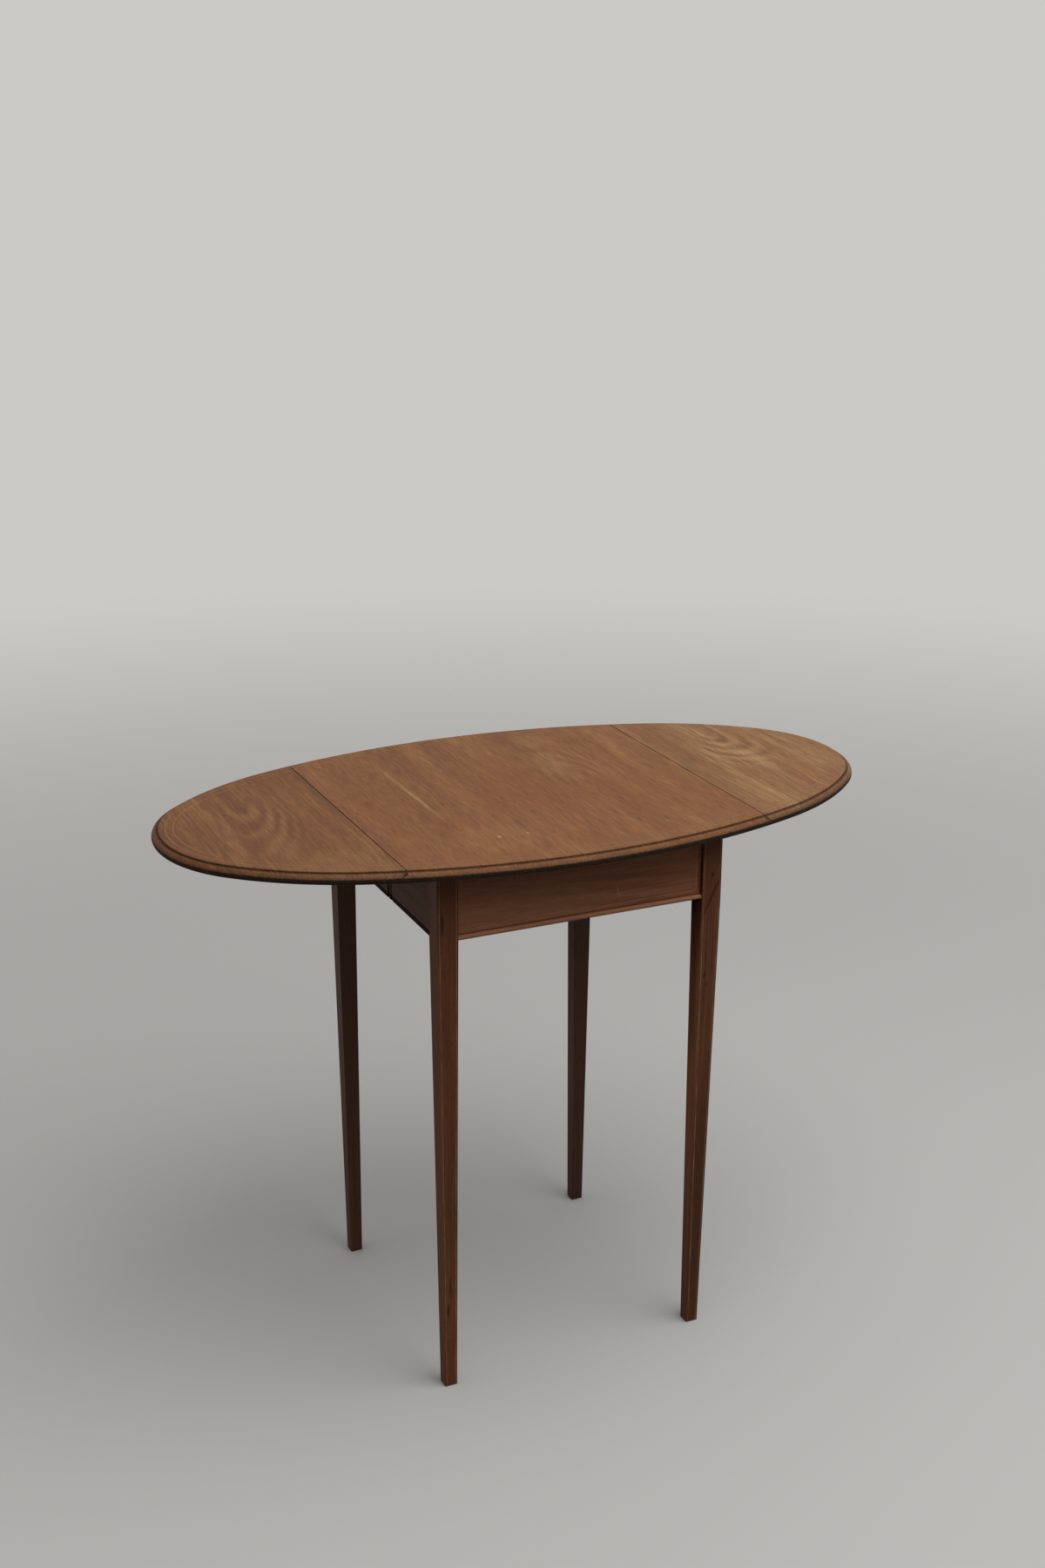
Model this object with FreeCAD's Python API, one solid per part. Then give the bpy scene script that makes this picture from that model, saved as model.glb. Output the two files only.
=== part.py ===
import FreeCAD, Part
import math
import os

from FreeCAD import Vector

# Butterfly table: oval drop-leaf top with rule joints, on a square frame with
# four tapered legs. Swinging fly brackets on wooden knuckles carry the leaves.
# Millimetres, +Z up, +X along the oval's long axis, floor at zero.

os.makedirs("parts", exist_ok=True)

# Oval top
table_height = 700.0
top_half_length = 457.0
top_half_depth = 245.0
top_end_share = 1.22
top_side_share = 0.96
top_end_turn = 46.0
top_thickness = 14.0
quirk_height = 2.2
quirk_inset = 8.0
ovolo_radius = 7.0
ovolo_flats = 3
edge_bevel = 4.0
moulding_width = 14.0

# Rule joint between the centre board and a leaf
hinge_line = 229.0
lip_thickness = 4.0
hinge_axis_rise = 2.7
rule_clearance = 0.35
seam_gap = 0.4

# Stringing in the top and in the aprons
string_width = 1.2
string_depth = 1.0
top_string_inset = 25.0
apron_string_inset = 5.0

# Legs
leaf_fall_gap = 44.0
front_overhang = 60.0
leg_width = 26.0
foot_width = 16.0
foot_inset = 7.5
leg_arris = 0.8

# Front and back aprons
frame_depth = 91.0
bead_height = 5.5
bead_setback = 1.2
bead_round = 2.5
apron_setback = 5.5
apron_thickness = 16.0
apron_tenon_length = 14.0

# Side rails behind the fly brackets
rail_thickness = 16.0
rail_reveal = 12.0
rail_tenon_length = 8.0

# Tenons
tenon_thickness = 7.0
tenon_shoulder = 7.0
tenon_clearance = 0.1

# Fly brackets and their wooden knuckles
fly_setback = 1.5
fly_thickness = 14.0
fly_pivot = 30.0
fly_end_gap = 1.5
knuckle_count = 3
sliding_clearance = 0.3
shoulder_clearance = 0.25
knuckle_pin_radius = 2.0
pin_clearance = 0.05
bead_groove_width = 1.0
bead_groove_depth = 1.0

# Table hinges
hinge_spacing = 240.0
hinge_width = 38.0
hinge_short_plate = 30.0
hinge_long_plate = 45.0
hinge_plate_thickness = 2.0
hinge_knuckle_radius = 2.5
hinge_knuckle_length = 14.0
hinge_pin_radius = 1.0
hinge_side_clearance = 0.4

# Buttons and corner blocks under the top
button_spacing = 190.0
button_width = 30.0
button_depth = 28.0
button_height = 14.0
button_tongue = 6.0
button_tongue_reach = 7.0
button_tongue_drop = 5.0
corner_leg = 29.0
corner_drop = 9.0
corner_height = 62.0

# Reach of cutting shapes past what they cut, and how closely two lengths agree
cut_margin = 20.0
match_tolerance = 0.01

# Heights and planes that follow from the sizes above
top_end_radius = top_end_share * top_half_depth ** 2 / top_half_length
top_side_radius = top_side_share * top_half_length ** 2 / top_half_depth
underside = table_height - top_thickness
frame_half_length = hinge_line - leaf_fall_gap
frame_half_depth = top_half_depth - front_overhang
frame_bottom = underside - frame_depth
hinge_axis = underside + hinge_axis_rise
rule_radius = top_thickness - lip_thickness - hinge_axis_rise
cove_radius = rule_radius + rule_clearance
leg_inner_x = frame_half_length - leg_width
leg_inner_y = frame_half_depth - leg_width
apron_face = frame_half_depth - apron_setback
apron_inner = apron_face - apron_thickness
apron_bottom = frame_bottom + bead_height
fly_face = frame_half_length - fly_setback
fly_axis = fly_face - fly_thickness / 2
fly_inner = fly_face - fly_thickness
rail_inner = fly_inner - rail_thickness
rail_bottom = frame_bottom + rail_reveal
block_radius = fly_thickness / 2
bracket_radius = block_radius - sliding_clearance
band_height = (underside - frame_bottom) / knuckle_count
plate_bottom = hinge_axis - hinge_knuckle_radius
plate_top = plate_bottom + hinge_plate_thickness


def block(low_x, high_x, low_y, high_y, low_z, high_z):
    # Box between two corners.
    corner = Vector(low_x, low_y, low_z)
    return Part.makeBox(high_x - low_x, high_y - low_y, high_z - low_z, corner)


def prism(points, low_z, high_z):
    # Upright prism over a plan outline.
    corners = [Vector(x, y, low_z) for x, y in points]
    face = Part.Face(Part.makePolygon(corners + corners[:1]))
    return face.extrude(Vector(0, 0, high_z - low_z))


def upright(x, y, radius, low_z, high_z):
    # Upright cylinder.
    return Part.makeCylinder(radius, high_z - low_z, Vector(x, y, low_z))


def along_y(x, z, radius, low_y, high_y):
    # Cylinder along the hinge line.
    return Part.makeCylinder(radius, high_y - low_y, Vector(x, low_y, z), Vector(0, 1, 0))


def to_left(shape):
    # The same piece on the left side.
    return shape.mirror(Vector(0, 0, 0), Vector(1, 0, 0))


def to_front(shape):
    # The same piece at the front.
    return shape.mirror(Vector(0, 0, 0), Vector(0, 1, 0))


def pair(shape, mirror):
    # A piece and its mirror image.
    return [shape, mirror(shape)]


def all_four(shape):
    # A right back piece and its images at the other corners.
    return pair(shape, to_left) + pair(to_front(shape), to_left)


def joined(shapes):
    # One solid from shapes that overlap or meet.
    return shapes[0].multiFuse(shapes[1:]).removeSplitter()


def near(value, target):
    # True where two lengths agree.
    return abs(value - target) < match_tolerance


def save(name, shape):
    # Write one node.
    shape.exportStep("parts/" + name + ".step")


def edge_section():
    # Section of the moulded edge as inset and height: bevel, ovolo in flats, quirk.
    shoulder = table_height - quirk_height
    corners = [(moulding_width, underside), (edge_bevel, underside), (0, underside + edge_bevel)]
    step = math.pi / 2 / (ovolo_flats + 1)
    reach = ovolo_radius / math.cos(step / 2)
    for index in range(ovolo_flats + 1):
        angle = step / 2 + index * step
        height = shoulder - ovolo_radius + reach * math.sin(angle)
        corners.append((ovolo_radius - reach * math.cos(angle), height))
    return corners + [(quirk_inset, shoulder), (quirk_inset, table_height), (moulding_width, table_height)]


def toward(angle):
    # Level direction at an angle from the long axis.
    return Vector(math.cos(math.radians(angle)), math.sin(math.radians(angle)), 0)


def oval_arcs():
    # Right end, right back shoulder and back of the oval: centre, radius, first and last angle.
    end = Vector(top_half_length - top_end_radius, 0, 0)
    side = Vector(0, top_half_depth - top_side_radius, 0)
    apart = end - side
    excess = top_side_radius - top_end_radius
    slack = excess - apart.dot(toward(top_end_turn))
    growth = (excess ** 2 - apart.dot(apart)) / (2 * slack)
    shoulder = end - toward(top_end_turn) * growth
    turn = math.degrees(math.atan2(shoulder.y - side.y, shoulder.x))
    round_end = (end, top_end_radius, -top_end_turn, top_end_turn)
    round_shoulder = (shoulder, top_end_radius + growth, top_end_turn, turn)
    return round_end, round_shoulder, (side, top_side_radius, turn, 180 - turn)


def all_round(end, shoulder, side):
    # Both ends, all four shoulders and both sides of the oval.
    return pair(end, to_left) + all_four(shoulder) + pair(side, to_front)


def edge_sector(centre, radius, first, last):
    # Stretch of the moulded edge that turns about one of the oval's centres.
    corners = [centre + Vector(radius - inset, 0, z) for inset, z in edge_section()]
    face = Part.Face(Part.makePolygon(corners + corners[:1]))
    face.rotate(centre, Vector(0, 0, 1), first)
    return face.revolve(centre, Vector(0, 0, 1), last - first)


def oval_line(centre, radius, first, last, level):
    # Level arc about one of the oval's centres.
    angles = (first, (first + last) / 2, last)
    points = [centre + toward(angle) * radius + Vector(0, 0, level) for angle in angles]
    return Part.Arc(*points).toShape()


def oval(inset, low_z, high_z):
    # Slab parallel to the oval's edge, smaller by the inset all round.
    lines = []
    for centre, radius, first, last in oval_arcs():
        lines.append(oval_line(centre, radius - inset, first, last, low_z))
    outline = Part.Wire(Part.__sortEdges__(all_round(*lines)))
    return Part.Face(outline).extrude(Vector(0, 0, high_z - low_z))


def top_string():
    # Line of stringing all round the top, before it is divided between the boards.
    low = table_height - string_depth
    inner = top_string_inset + string_width
    return oval(top_string_inset, low, table_height).cut(oval(inner, low, table_height))


def moulded_top():
    # Whole oval top with its moulded edge.
    sectors = [edge_sector(*arc) for arc in oval_arcs()]
    return joined([oval(moulding_width, underside, table_height)] + all_round(*sectors))


def rule_curve(radius, top_x):
    # Quarter-round of the rule joint about the hinge axis, from the lip to the underside.
    start = Vector(hinge_line + top_x, 0, hinge_axis + math.sqrt(radius ** 2 - top_x ** 2))
    middle = Vector(hinge_line + radius * math.cos(math.pi / 4), 0, hinge_axis + radius * math.sin(math.pi / 4))
    end = Vector(hinge_line + math.sqrt(radius ** 2 - hinge_axis_rise ** 2), 0, underside)
    return start, end, Part.Arc(start, middle, end).toShape()


def rule_zone(radius, top_x, far_x):
    # Space on one side of the rule joint, across the whole depth of the top.
    start, end, curve = rule_curve(radius, top_x)
    below = underside - cut_margin
    above = table_height + cut_margin
    lower = [end, Vector(end.x, 0, below), Vector(far_x, 0, below), Vector(far_x, 0, above)]
    outline = lower + [Vector(start.x, 0, above), start]
    edges = [curve] + Part.makePolygon(outline).Edges
    face = Part.Face(Part.Wire(Part.__sortEdges__(edges)))
    reach = top_half_depth + cut_margin
    face.translate(Vector(0, -reach, 0))
    return face.extrude(Vector(0, 2 * reach, 0))


def hinge_centres():
    # Places of the hinges along a hinge line.
    return [-hinge_spacing / 2, hinge_spacing / 2]


def hinge_short(y):
    # Short plate with the two outer knuckles and the pin riveted in them.
    half = hinge_width / 2
    inner = (hinge_knuckle_length + sliding_clearance) / 2
    root = hinge_line - hinge_knuckle_radius - hinge_side_clearance
    pieces = [block(hinge_line - hinge_short_plate, root, y - half, y + half, plate_bottom, plate_top)]
    for low, high in ((y - half, y - inner), (y + inner, y + half)):
        pieces.append(block(root, hinge_line, low, high, plate_bottom, plate_top))
        pieces.append(along_y(hinge_line, hinge_axis, hinge_knuckle_radius, low, high))
    pieces.append(along_y(hinge_line, hinge_axis, hinge_pin_radius, y - half, y + half))
    return joined(pieces)


def hinge_long(y):
    # Long plate with the bored middle knuckle.
    half = hinge_width / 2
    inner = (hinge_knuckle_length - sliding_clearance) / 2
    root = hinge_line + hinge_knuckle_radius + hinge_side_clearance
    pieces = [block(root, hinge_line + hinge_long_plate, y - half, y + half, plate_bottom, plate_top)]
    pieces.append(block(hinge_line, root, y - inner, y + inner, plate_bottom, plate_top))
    pieces.append(along_y(hinge_line, hinge_axis, hinge_knuckle_radius, y - inner, y + inner))
    bore = along_y(hinge_line, hinge_axis, hinge_pin_radius + pin_clearance, y - inner, y + inner)
    return joined(pieces).cut(bore)


def short_plate_recess(y):
    # Housing in the centre board for the short plate, the knuckles and the crossing long plate.
    half = hinge_width / 2
    wide = half + sliding_clearance
    seat = block(hinge_line - hinge_short_plate, hinge_line, y - half, y + half, underside, plate_top)
    reach = hinge_knuckle_radius + hinge_side_clearance
    roof = hinge_axis + hinge_knuckle_radius + sliding_clearance
    trench = block(hinge_line - reach, hinge_line + reach, y - wide, y + wide, underside, roof)
    low_roof = plate_top + sliding_clearance
    slot = block(hinge_line, hinge_line + cut_margin, y - wide, y + wide, underside, low_roof)
    return joined([seat, trench, slot])


def long_plate_recess(y):
    # Housing in the leaf for the long plate.
    half = hinge_width / 2
    return block(hinge_line, hinge_line + hinge_long_plate, y - half, y + half, underside, plate_top)


def right_leaf(blank):
    # Right leaf with its cove and hinge housings, and its stringing.
    zone = rule_zone(cove_radius, seam_gap, top_half_length + cut_margin)
    string = top_string().common(zone)
    leaf = blank.common(zone).cut(string)
    for y in hinge_centres():
        leaf = leaf.cut(long_plate_recess(y))
    return leaf, string


def centre_board(blank):
    # Centre board with both ovolos and the hinge housings, and its stringing.
    zone = rule_zone(rule_radius, 0, 0)
    zone = joined([zone, to_left(zone)])
    string = top_string().common(zone)
    board = blank.common(zone).cut(string)
    for y in hinge_centres():
        recess = short_plate_recess(y)
        board = board.cut(recess).cut(to_left(recess))
    return board, string


def leg_section(inset, width, level):
    # Corners of a square with eased arrises, set in from the frame's corner.
    high_x = frame_half_length - inset
    high_y = frame_half_depth - inset
    low_x = high_x - width
    low_y = high_y - width
    ease = leg_arris
    points = [(low_x + ease, low_y), (high_x - ease, low_y), (high_x, low_y + ease), (high_x, high_y - ease)]
    points += [(high_x - ease, high_y), (low_x + ease, high_y), (low_x, high_y - ease), (low_x, low_y + ease)]
    return [Vector(x, y, level) for x, y in points]


def post(lower, upper):
    # Flat-sided solid between two sections with matching corners.
    rings = zip(lower, lower[1:] + lower[:1], upper[1:] + upper[:1], upper)
    outlines = [lower, upper] + [list(ring) for ring in rings]
    faces = [Part.Face(Part.makePolygon(corners + corners[:1])) for corners in outlines]
    return Part.Solid(Part.Shell(faces))


def leg():
    # Right back leg: square at the rails, tapered below, with two mortises.
    knee = leg_section(0, leg_width, frame_bottom)
    taper = post(leg_section(foot_inset, foot_width, 0), knee)
    stile = post(knee, leg_section(0, leg_width, underside))
    return joined([taper, stile]).cut(apron_tenon(tenon_clearance)).cut(rail_tenon(tenon_clearance))


def apron_tenon(clearance):
    # Right tenon of the back apron, or its mortise when a clearance is given.
    middle = (apron_face + apron_inner) / 2
    half = tenon_thickness / 2 + clearance
    end = leg_inner_x + apron_tenon_length + clearance
    low = apron_bottom + tenon_shoulder - clearance
    high = underside - tenon_shoulder + clearance
    return block(leg_inner_x, end, middle - half, middle + half, low, high)


def rail_tenon(clearance):
    # Back tenon of the right side rail, or its mortise when a clearance is given.
    middle = leg_inner_x + (fly_inner - leg_inner_x) / 2
    half = tenon_thickness / 2 + clearance
    end = leg_inner_y + rail_tenon_length + clearance
    low = rail_bottom + tenon_shoulder - clearance
    high = underside - tenon_shoulder + clearance
    return block(middle - half, middle + half, leg_inner_y, end, low, high)


def apron_string():
    # Rectangle of stringing in the back apron's face.
    far = leg_inner_x - apron_string_inset
    low = apron_bottom + apron_string_inset
    high = underside - apron_string_inset
    inner = apron_face - string_depth
    outside = block(-far, far, inner, apron_face, low, high)
    near_x = far - string_width
    hole = block(-near_x, near_x, inner, apron_face, low + string_width, high - string_width)
    return outside.cut(hole)


def apron():
    # Back apron with a tenon at each end, its string groove and button slots.
    board = block(-leg_inner_x, leg_inner_x, apron_inner, apron_face, apron_bottom, underside)
    board = joined([board, apron_tenon(0), to_left(apron_tenon(0))])
    return board.cut(apron_string()).cut(button_tongues(tenon_clearance))


def bead():
    # Bead strip under the back apron, with a rounded nose.
    nose = frame_half_depth - bead_setback
    strip = block(-leg_inner_x, leg_inner_x, apron_inner, nose, frame_bottom, apron_bottom)
    front = [e for e in strip.Edges if near(e.BoundBox.YMin, nose) and near(e.Length, 2 * leg_inner_x)]
    return strip.makeFillet(bead_round, front)


def side_rail():
    # Right inner side rail with a tenon at each end.
    rail = block(rail_inner, fly_inner, -leg_inner_y, leg_inner_y, rail_bottom, underside)
    return joined([rail, rail_tenon(0), to_front(rail_tenon(0))])


def band(index):
    # Lower and upper level of one knuckle.
    low = frame_bottom + index * band_height
    return low, low + band_height


def fixed_bands():
    # Knuckles that belong to the fixed block: every other one from the bottom.
    return range(0, knuckle_count, 2)


def moving_bands():
    # Knuckles that belong to the bracket.
    return range(1, knuckle_count, 2)


def bead_groove():
    # Groove that marks the bead along the foot of the fly rail.
    low = frame_bottom + bead_height
    inner = fly_face - sliding_clearance - bead_groove_depth
    return block(inner, fly_face + cut_margin, -leg_inner_y, leg_inner_y, low, low + bead_groove_width)


def bracket():
    # Right back fly bracket: a wing with round knuckles and a bevelled shoulder.
    low = frame_bottom
    high = underside - sliding_clearance
    inner = fly_axis - bracket_radius
    outer = fly_axis + bracket_radius
    heel = fly_pivot + shoulder_clearance
    end = leg_inner_y - fly_end_gap
    points = [(inner, fly_pivot), (inner, end), (outer, end), (outer, heel + bracket_radius)]
    wing = prism(points + [(fly_axis, heel), (fly_axis, fly_pivot)], low, high)
    for index in fixed_bands():
        start, stop = band(index)
        hollow = block_radius + sliding_clearance
        reach = sliding_clearance
        wing = wing.cut(upright(fly_axis, fly_pivot, hollow, start - reach, stop + reach))
    knuckles = []
    for index in moving_bands():
        start, stop = band(index)
        reach = sliding_clearance
        knuckles.append(upright(fly_axis, fly_pivot, bracket_radius, start + reach, stop - reach))
    wing = joined([wing] + knuckles)
    wing = wing.cut(upright(fly_axis, fly_pivot, knuckle_pin_radius + pin_clearance, low, high))
    return wing.cut(bead_groove())


def fly_block():
    # Right fixed block between the two brackets, with knuckles at both ends.
    inner = fly_axis - block_radius
    outer = fly_axis + block_radius
    heel = fly_pivot - shoulder_clearance
    half = [(inner, fly_pivot), (fly_axis, fly_pivot), (fly_axis, heel), (outer, heel - block_radius)]
    points = half + [(x, -y) for x, y in reversed(half)]
    core = prism(points, frame_bottom, underside)
    for y in (-fly_pivot, fly_pivot):
        for index in moving_bands():
            start, stop = band(index)
            core = core.cut(upright(fly_axis, y, bracket_radius + sliding_clearance, start, stop))
    knuckles = []
    for y in (-fly_pivot, fly_pivot):
        for index in fixed_bands():
            start, stop = band(index)
            knuckles.append(upright(fly_axis, y, block_radius, start, stop))
    core = joined([core] + knuckles)
    for y in (-fly_pivot, fly_pivot):
        core = core.cut(upright(fly_axis, y, knuckle_pin_radius + pin_clearance, frame_bottom, underside))
    return core.cut(bead_groove())


def knuckle_pin():
    # Upright pin of the right back bracket.
    return upright(fly_axis, fly_pivot, knuckle_pin_radius, frame_bottom, underside)


def button_places():
    # Places of the buttons along the back apron.
    return [-button_spacing / 2, button_spacing / 2]


def button_tongues(clearance):
    # Tongues of the buttons in the back apron, or their slots when a clearance is given.
    tongues = []
    high = underside - button_tongue_drop + clearance
    low = underside - button_tongue_drop - button_tongue - clearance
    for x in button_places():
        half = button_width / 2 + clearance
        start = apron_inner - button_tongue_reach
        tongues.append(block(x - half, x + half, start, apron_inner + button_tongue_reach + clearance, low, high))
    return Part.makeCompound(tongues)


def buttons():
    # Buttons at the back apron.
    made = []
    for x, tongue in zip(button_places(), button_tongues(0).Solids):
        half = button_width / 2
        low = underside - button_height
        body = block(x - half, x + half, apron_inner - button_depth, apron_inner, low, underside)
        made.append(joined([body, tongue]))
    return made


def corner_block():
    # Glue block in the right back corner, against the leg, the apron and the side rail.
    near_leg = [(rail_inner, leg_inner_y), (leg_inner_x, leg_inner_y), (leg_inner_x, apron_inner)]
    points = near_leg + [(leg_inner_x - corner_leg, apron_inner), (rail_inner, leg_inner_y - corner_leg)]
    high = underside - corner_drop
    return prism(points, high - corner_height, high)


def save_top():
    # Boards, stringing and hinges.
    blank = moulded_top()
    for piece, name in zip(centre_board(blank), ("top_centre", "stringing_centre")):
        save(name, piece)
    for piece, name in zip(right_leaf(blank), ("leaf_", "stringing_")):
        save(name + "right", piece)
        save(name + "left", to_left(piece))
    short = Part.makeCompound([hinge_short(y) for y in hinge_centres()])
    long = Part.makeCompound([hinge_long(y) for y in hinge_centres()])
    save("hinge_plates_centre", Part.makeCompound(pair(short, to_left)))
    save("hinge_plates_right", long)
    save("hinge_plates_left", to_left(long))


def save_frame():
    # Legs, aprons, rails and what holds them together.
    for make, name in ((leg, "leg"), (bracket, "fly_bracket")):
        places = ("_back_right", "_back_left", "_front_right", "_front_left")
        for place, piece in zip(places, all_four(make())):
            save(name + place, piece)
    for make, name in ((apron, "apron"), (bead, "bead"), (apron_string, "apron_stringing")):
        back, front = pair(make(), to_front)
        save(name + "_back", back)
        save(name + "_front", front)
    right, left = pair(side_rail(), to_left)
    save("side_rail_right", right)
    save("side_rail_left", left)
    save("fly_blocks", Part.makeCompound(pair(fly_block(), to_left)))
    save("knuckle_pins", Part.makeCompound(all_four(knuckle_pin())))
    save("corner_blocks", Part.makeCompound(all_four(corner_block())))
    save("top_buttons", Part.makeCompound(buttons() + [to_front(piece) for piece in buttons()]))


save_top()
save_frame()
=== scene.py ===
"""Looks of a butterfly table: an oval drop-leaf top with moulded edge and stringing on a square frame."""

import logging
import math
from collections.abc import Iterable
from dataclasses import dataclass
from enum import Enum
from typing import Any

import bmesh
import bpy
from bmesh.types import BMEdge, BMesh, BMVert
from bpy.types import Material, Mesh, Node, NodeSocket, NodeTree, Object
from mathutils import Euler, Matrix, Vector


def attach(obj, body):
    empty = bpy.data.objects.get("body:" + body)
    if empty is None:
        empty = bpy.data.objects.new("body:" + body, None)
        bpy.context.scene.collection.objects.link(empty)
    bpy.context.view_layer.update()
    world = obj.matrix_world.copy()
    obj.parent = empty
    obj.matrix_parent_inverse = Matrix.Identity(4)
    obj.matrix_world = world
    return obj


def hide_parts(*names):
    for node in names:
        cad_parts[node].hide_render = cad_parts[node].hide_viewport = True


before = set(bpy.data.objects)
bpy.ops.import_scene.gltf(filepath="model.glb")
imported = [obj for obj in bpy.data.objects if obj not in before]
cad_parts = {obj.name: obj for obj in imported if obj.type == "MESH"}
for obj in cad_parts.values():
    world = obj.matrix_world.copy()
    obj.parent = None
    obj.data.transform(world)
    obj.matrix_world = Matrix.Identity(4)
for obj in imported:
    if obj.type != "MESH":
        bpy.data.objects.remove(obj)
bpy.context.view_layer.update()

log = logging.getLogger("butterfly_table")

Point = tuple[float, float, float]
Span = tuple[float, float]
Profile = list[Span]
Inputs = dict[str | int, Any]
Woods = dict[str, Material]

# Everything is modelled in millimetres and written to the scene in metres.
MM = 0.001

# Heights of the top's face and underside, and the place of the hinge axes.
SURFACE, UNDERSIDE = 700.0, 686.0
HINGE_LINE, HINGE_AXIS = 229.0, 688.7

# A wave texture's rings are this far apart at a scale of one.
WAVE_PERIOD = 2 * math.pi / 20

# Nearly all values of a noise lie in this span about its middle.
NOISE_SPAN, NOISE_MIDDLE = (0.3, 0.7), 0.5

# A soft-edged spot or line is full up to this share of its half width.
SOFT_CORE = 0.3

# Depth of marks in the top: a patch shows on the moulded edge too, a nick only on the face.
PATCH, NICK = 30.0, 3.0

# Faces that turn by less than the first angle are made one, edges over the second are eased,
# and edges over the third are shaded sharp.
FLAT_ANGLE, SHARP_ANGLE, CREASE_ANGLE = (math.radians(angle) for angle in (1, 40, 46))

# A corner this near to a plane lies on it.
NEAR = 1.0

# Corners nearer than this become one, in a whole mesh and after a cut. The last is for a cutting plane.
WELD, CUT_WELD, PLANE_WELD = 0.01, 0.002, 0.001


class Grain(Enum):
    """Way the grain runs, as the turn that brings it to the pattern's own Y."""

    ALONG_X = (0.0, 0.0, math.pi / 2)
    ALONG_Y = (0.0, 0.0, 0.0)
    ALONG_Z = (-math.pi / 2, 0.0, 0.0)


class Carve(Enum):
    """What a cutting shape does to a piece."""

    KEEP_INSIDE = "INTERSECT"
    TAKE_AWAY = "DIFFERENCE"


class Side(Enum):
    """Side of the table, as the sign of an axis."""

    @property
    def word(self) -> str:
        """Name of the side as the frame's nodes spell it."""
        return self.name.lower()


class Hand(Side):
    """Left or right, as the sign of X."""

    LEFT = -1
    RIGHT = 1


class Row(Side):
    """Front or back, as the sign of Y."""

    FRONT = -1
    BACK = 1


def linear(code: str) -> tuple[float, float, float, float]:
    """Turn an sRGB hex colour into a linear one.

    Args:
        code: Six hex digits after a hash sign.

    Returns:
        Red, green, blue and a full alpha.
    """
    parts = [int(code[i : i + 2], 16) / 255 for i in (1, 3, 5)]
    red, green, blue = [p / 12.92 if p <= 0.04045 else ((p + 0.055) / 1.055) ** 2.4 for p in parts]
    return red, green, blue, 1.0


@dataclass(frozen=True)
class Feature:
    """One kind of feature in a pattern: its size on three axes in millimetres and its detail."""

    size: Point
    detail: float


@dataclass
class Nodes:
    """Node tree of a finish or of the sky, with short calls for the nodes that are used most."""

    tree: NodeTree
    coordinates: str = "Object"

    def __post_init__(self) -> None:
        """Empty the tree and start it with the coordinates."""
        self.tree.nodes.clear()
        self.spot = self.add("TexCoord").outputs[self.coordinates]

    def add(self, kind: str, links: Inputs | None = None, **settings: Any) -> Node:
        """Add a node.

        Args:
            kind: Blender's name of the node type, after ShaderNode.
            links: Inputs by name or number, each with a value or the socket that feeds it.
            **settings: Properties of the node.

        Returns:
            The new node.
        """
        node = self.tree.nodes.new("ShaderNode" + kind)
        for key, value in settings.items():
            setattr(node, key, value)
        for key, value in (links or {}).items():
            if isinstance(value, NodeSocket):
                self.tree.links.new(value, node.inputs[key])
            else:
                node.inputs[key].default_value = value
        return node

    def math(self, operation: str, *values: NodeSocket | float, clamp: bool = False) -> NodeSocket:
        """Reckon with numbers."""
        return self.add("Math", dict(enumerate(values)), operation=operation, use_clamp=clamp).outputs[0]

    def length(self, spot: NodeSocket) -> NodeSocket:
        """Length of a vector."""
        return self.add("VectorMath", {0: spot}, operation="LENGTH").outputs["Value"]

    def axes(self) -> Any:
        """Coordinates on the three axes, by their letters."""
        return self.add("SeparateXYZ", {0: self.spot}).outputs

    def moved(self, spot: NodeSocket, kind: str = "POINT", **values: Any) -> NodeSocket:
        """Coordinates moved, turned or scaled."""
        return self.add("Mapping", {"Vector": spot, **values}, vector_type=kind).outputs[0]

    def span(
        self, value: NodeSocket, start: float, end: float,
        low: float = 0.0, high: float = 1.0, soft: bool = False,
    ) -> NodeSocket:
        """Turn the span from start to end into the one from low to high and hold what lies outside it."""
        limits = {"Value": value, "From Min": start, "From Max": end, "To Min": low, "To Max": high}
        return self.add("MapRange", limits, interpolation_type="SMOOTHSTEP" if soft else "LINEAR").outputs[0]

    def noise(self, spot: NodeSocket, feature: Feature, output: str = "Fac") -> NodeSocket:
        """Noise with one kind of feature."""
        sized = self.moved(spot, Scale=[1 / (side * MM) for side in feature.size])
        return self.add("TexNoise", {"Vector": sized, "Scale": 1.0, "Detail": feature.detail}).outputs[output]

    def ramp(self, value: NodeSocket, *stops: tuple[float, str]) -> NodeSocket:
        """Turn a value into a colour.

        Args:
            value: The value.
            *stops: Two or more values in rising order, each with its hex colour.

        Returns:
            The colour.
        """
        node = self.add("ValToRGB", {"Fac": value})
        elements = node.color_ramp.elements
        for element, (position, code) in zip(elements, (stops[0], stops[-1])):
            element.position, element.color = position, linear(code)
        for position, code in stops[1:-1]:
            elements.new(position).color = linear(code)
        return node.outputs["Color"]

    def laid_over(self, colour: NodeSocket, other: str, mask: NodeSocket) -> NodeSocket:
        """Lay another colour over one by a mask."""
        return self.add("Mix", {0: mask, 6: colour, 7: linear(other)}, data_type="RGBA").outputs[2]

    def mixed(self, mask: NodeSocket, first: NodeSocket, second: NodeSocket | float) -> NodeSocket:
        """Go from one number to another by a mask."""
        return self.add("Mix", {0: mask, 2: first, 3: second}, data_type="FLOAT").outputs[0]

    def bump(self, height: NodeSocket, strength: float, depth: float) -> NodeSocket:
        """Relief of a given depth in millimetres."""
        relief = {"Strength": strength, "Distance": depth * MM, "Height": height}
        return self.add("Bump", relief).outputs["Normal"]


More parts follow.
